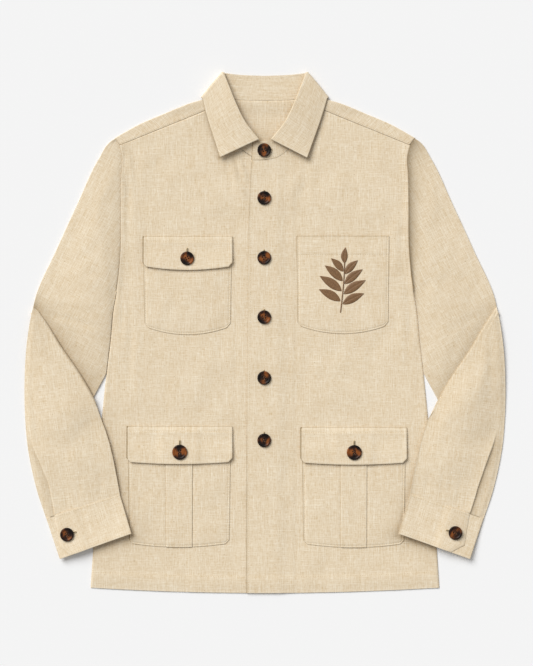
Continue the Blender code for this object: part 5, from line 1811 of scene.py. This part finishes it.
class JACKET_OT_pockets(bpy.types.Operator):
    """Patch pockets and flaps"""

    bl_idname = "jacket.pockets"
    bl_label = "Sew Pockets"

    def execute(self, context):
        for row in POCKETS:
            grid = sew_pocket(*row)
            rows = [stitch_row(inset_line(grid, "first", SEAM_IN)[2:-4]),
                    stitch_row(inset_line(grid, "last", SEAM_IN)[2:-4]),
                    stitch_row(inset_line(grid, "high", SEAM_IN)[4:-4])]
            if not row[-1]:
                rows.append(stitch_row(inset_line(grid, "low", MOUTH_HEM)[5:-5]))
            sew_stitches("stitching_" + row[0], rows, row[0] + "_cloth")
        for row in FLAPS:
            grid = sew_flap(*row)
            sew_stitches("stitching_" + row[0], [stitch_row(inset_line(grid, "low", FLAP_STITCH)[3:-3])],
                         row[0] + "_cloth")
        return {"FINISHED"}


class JACKET_OT_buttons(bpy.types.Operator):
    """Buttons, their twist and the buttonholes"""

    bl_idname = "jacket.buttons"
    bl_label = "Sew Buttons"

    def execute(self, context):
        placed = [(row, *make_button(*row)) for row in BUTTONS]
        wind_button_threads(placed)
        work_buttonholes({row[0]: seat for row, seat, _ in placed})
        return {"FINISHED"}


class JACKET_OT_sprig(bpy.types.Operator):
    """Embroidered sprig on the plain chest pocket"""

    bl_idname = "jacket.sprig"
    bl_label = "Embroider Sprig"

    def execute(self, context):
        x_mid = POCKETS[1][1]

        def surface(x, y):
            """Face of the plain chest pocket well inside its seams."""
            return front_z(x, y, True) + GAP + PLY + POCKET_PUFF + pocket_slack(x, y, x_mid)

        embroider_sprig(surface)
        return {"FINISHED"}


# Half the side of the paper in metres, width of the camera's sensor in millimetres
PAPER_HALF = 4.0
SENSOR_WIDE = 36.0


class JACKET_OT_stage(bpy.types.Operator):
    """Paper, light and camera"""

    bl_idname = "jacket.stage"
    bl_label = "Set Stage"

    def execute(self, context):
        stage = context.scene.jacket_stage
        mesh = bpy.data.meshes.new("floor")
        corners = [(-PAPER_HALF, -PAPER_HALF, 0), (PAPER_HALF, -PAPER_HALF, 0),
                   (PAPER_HALF, PAPER_HALF, 0), (-PAPER_HALF, PAPER_HALF, 0)]
        mesh.from_pydata(corners, [], [(0, 1, 2, 3)])
        floor = link_mesh(mesh, paper_sweep())
        light = bpy.data.lights.new("key", "SUN")
        light.energy = stage.key
        light.angle = stage.key_soft
        key = bpy.data.objects.new("key", light)
        key.rotation_euler = (0.5 * math.pi - stage.key_rise, 0.0, stage.key_turn + 0.5 * math.pi)
        context.scene.collection.objects.link(key)
        world = bpy.data.worlds.new("white room")
        world.use_nodes = True
        back = world.node_tree.nodes["Background"]
        back.inputs["Color"].default_value = (1.0, 1.0, 1.0, 1.0)
        back.inputs["Strength"].default_value = stage.fill
        context.scene.world = world
        context.scene.view_settings.view_transform = "Standard"
        lens = bpy.data.cameras.new("camera")
        lens.sensor_width = SENSOR_WIDE
        lens.lens = SENSOR_WIDE * stage.reach / stage.frame_long
        lens.clip_end = 20.0
        camera = bpy.data.objects.new("camera", lens)
        camera.location = (stage.aim[0], stage.aim[1], stage.reach)
        context.scene.collection.objects.link(camera)
        context.scene.camera = camera
        return {"FINISHED"}


STEPS = ("body", "collar", "sleeves", "cuffs", "pockets", "buttons", "sprig", "stage")


class JACKET_PT_panel(bpy.types.Panel):
    """The jacket's pieces in the order they are sewn"""

    bl_label = "Linen Shirt Jacket"
    bl_idname = "JACKET_PT_panel"
    bl_space_type = "VIEW_3D"
    bl_region_type = "UI"
    bl_category = "Jacket"

    def draw(self, context):
        for name in STEPS:
            self.layout.operator("jacket." + name)
        for group in (context.scene.jacket_cloth, context.scene.jacket_trim, context.scene.jacket_stage):
            for key in group.bl_rna.properties.keys():
                if key not in ("rna_type", "name"):
                    self.layout.prop(group, key)


CLASSES = (JacketCloth, JacketTrim, JacketStage, JACKET_OT_body, JACKET_OT_collar, JACKET_OT_sleeves,
           JACKET_OT_cuffs, JACKET_OT_pockets, JACKET_OT_buttons, JACKET_OT_sprig, JACKET_OT_stage,
           JACKET_PT_panel)


def register():
    """Classes and the scene's three property groups."""
    for cls in CLASSES:
        bpy.utils.register_class(cls)
    bpy.types.Scene.jacket_cloth = PointerProperty(type=JacketCloth)
    bpy.types.Scene.jacket_trim = PointerProperty(type=JacketTrim)
    bpy.types.Scene.jacket_stage = PointerProperty(type=JacketStage)


def unregister():
    """Takes away what register adds, last first."""
    del bpy.types.Scene.jacket_stage
    del bpy.types.Scene.jacket_trim
    del bpy.types.Scene.jacket_cloth
    for cls in reversed(CLASSES):
        bpy.utils.unregister_class(cls)


def main():
    """Registers the add-on and sews the jacket in the order of STEPS."""
    register()
    for name in STEPS:
        getattr(bpy.ops.jacket, name)()


if __name__ == "__main__":
    main()
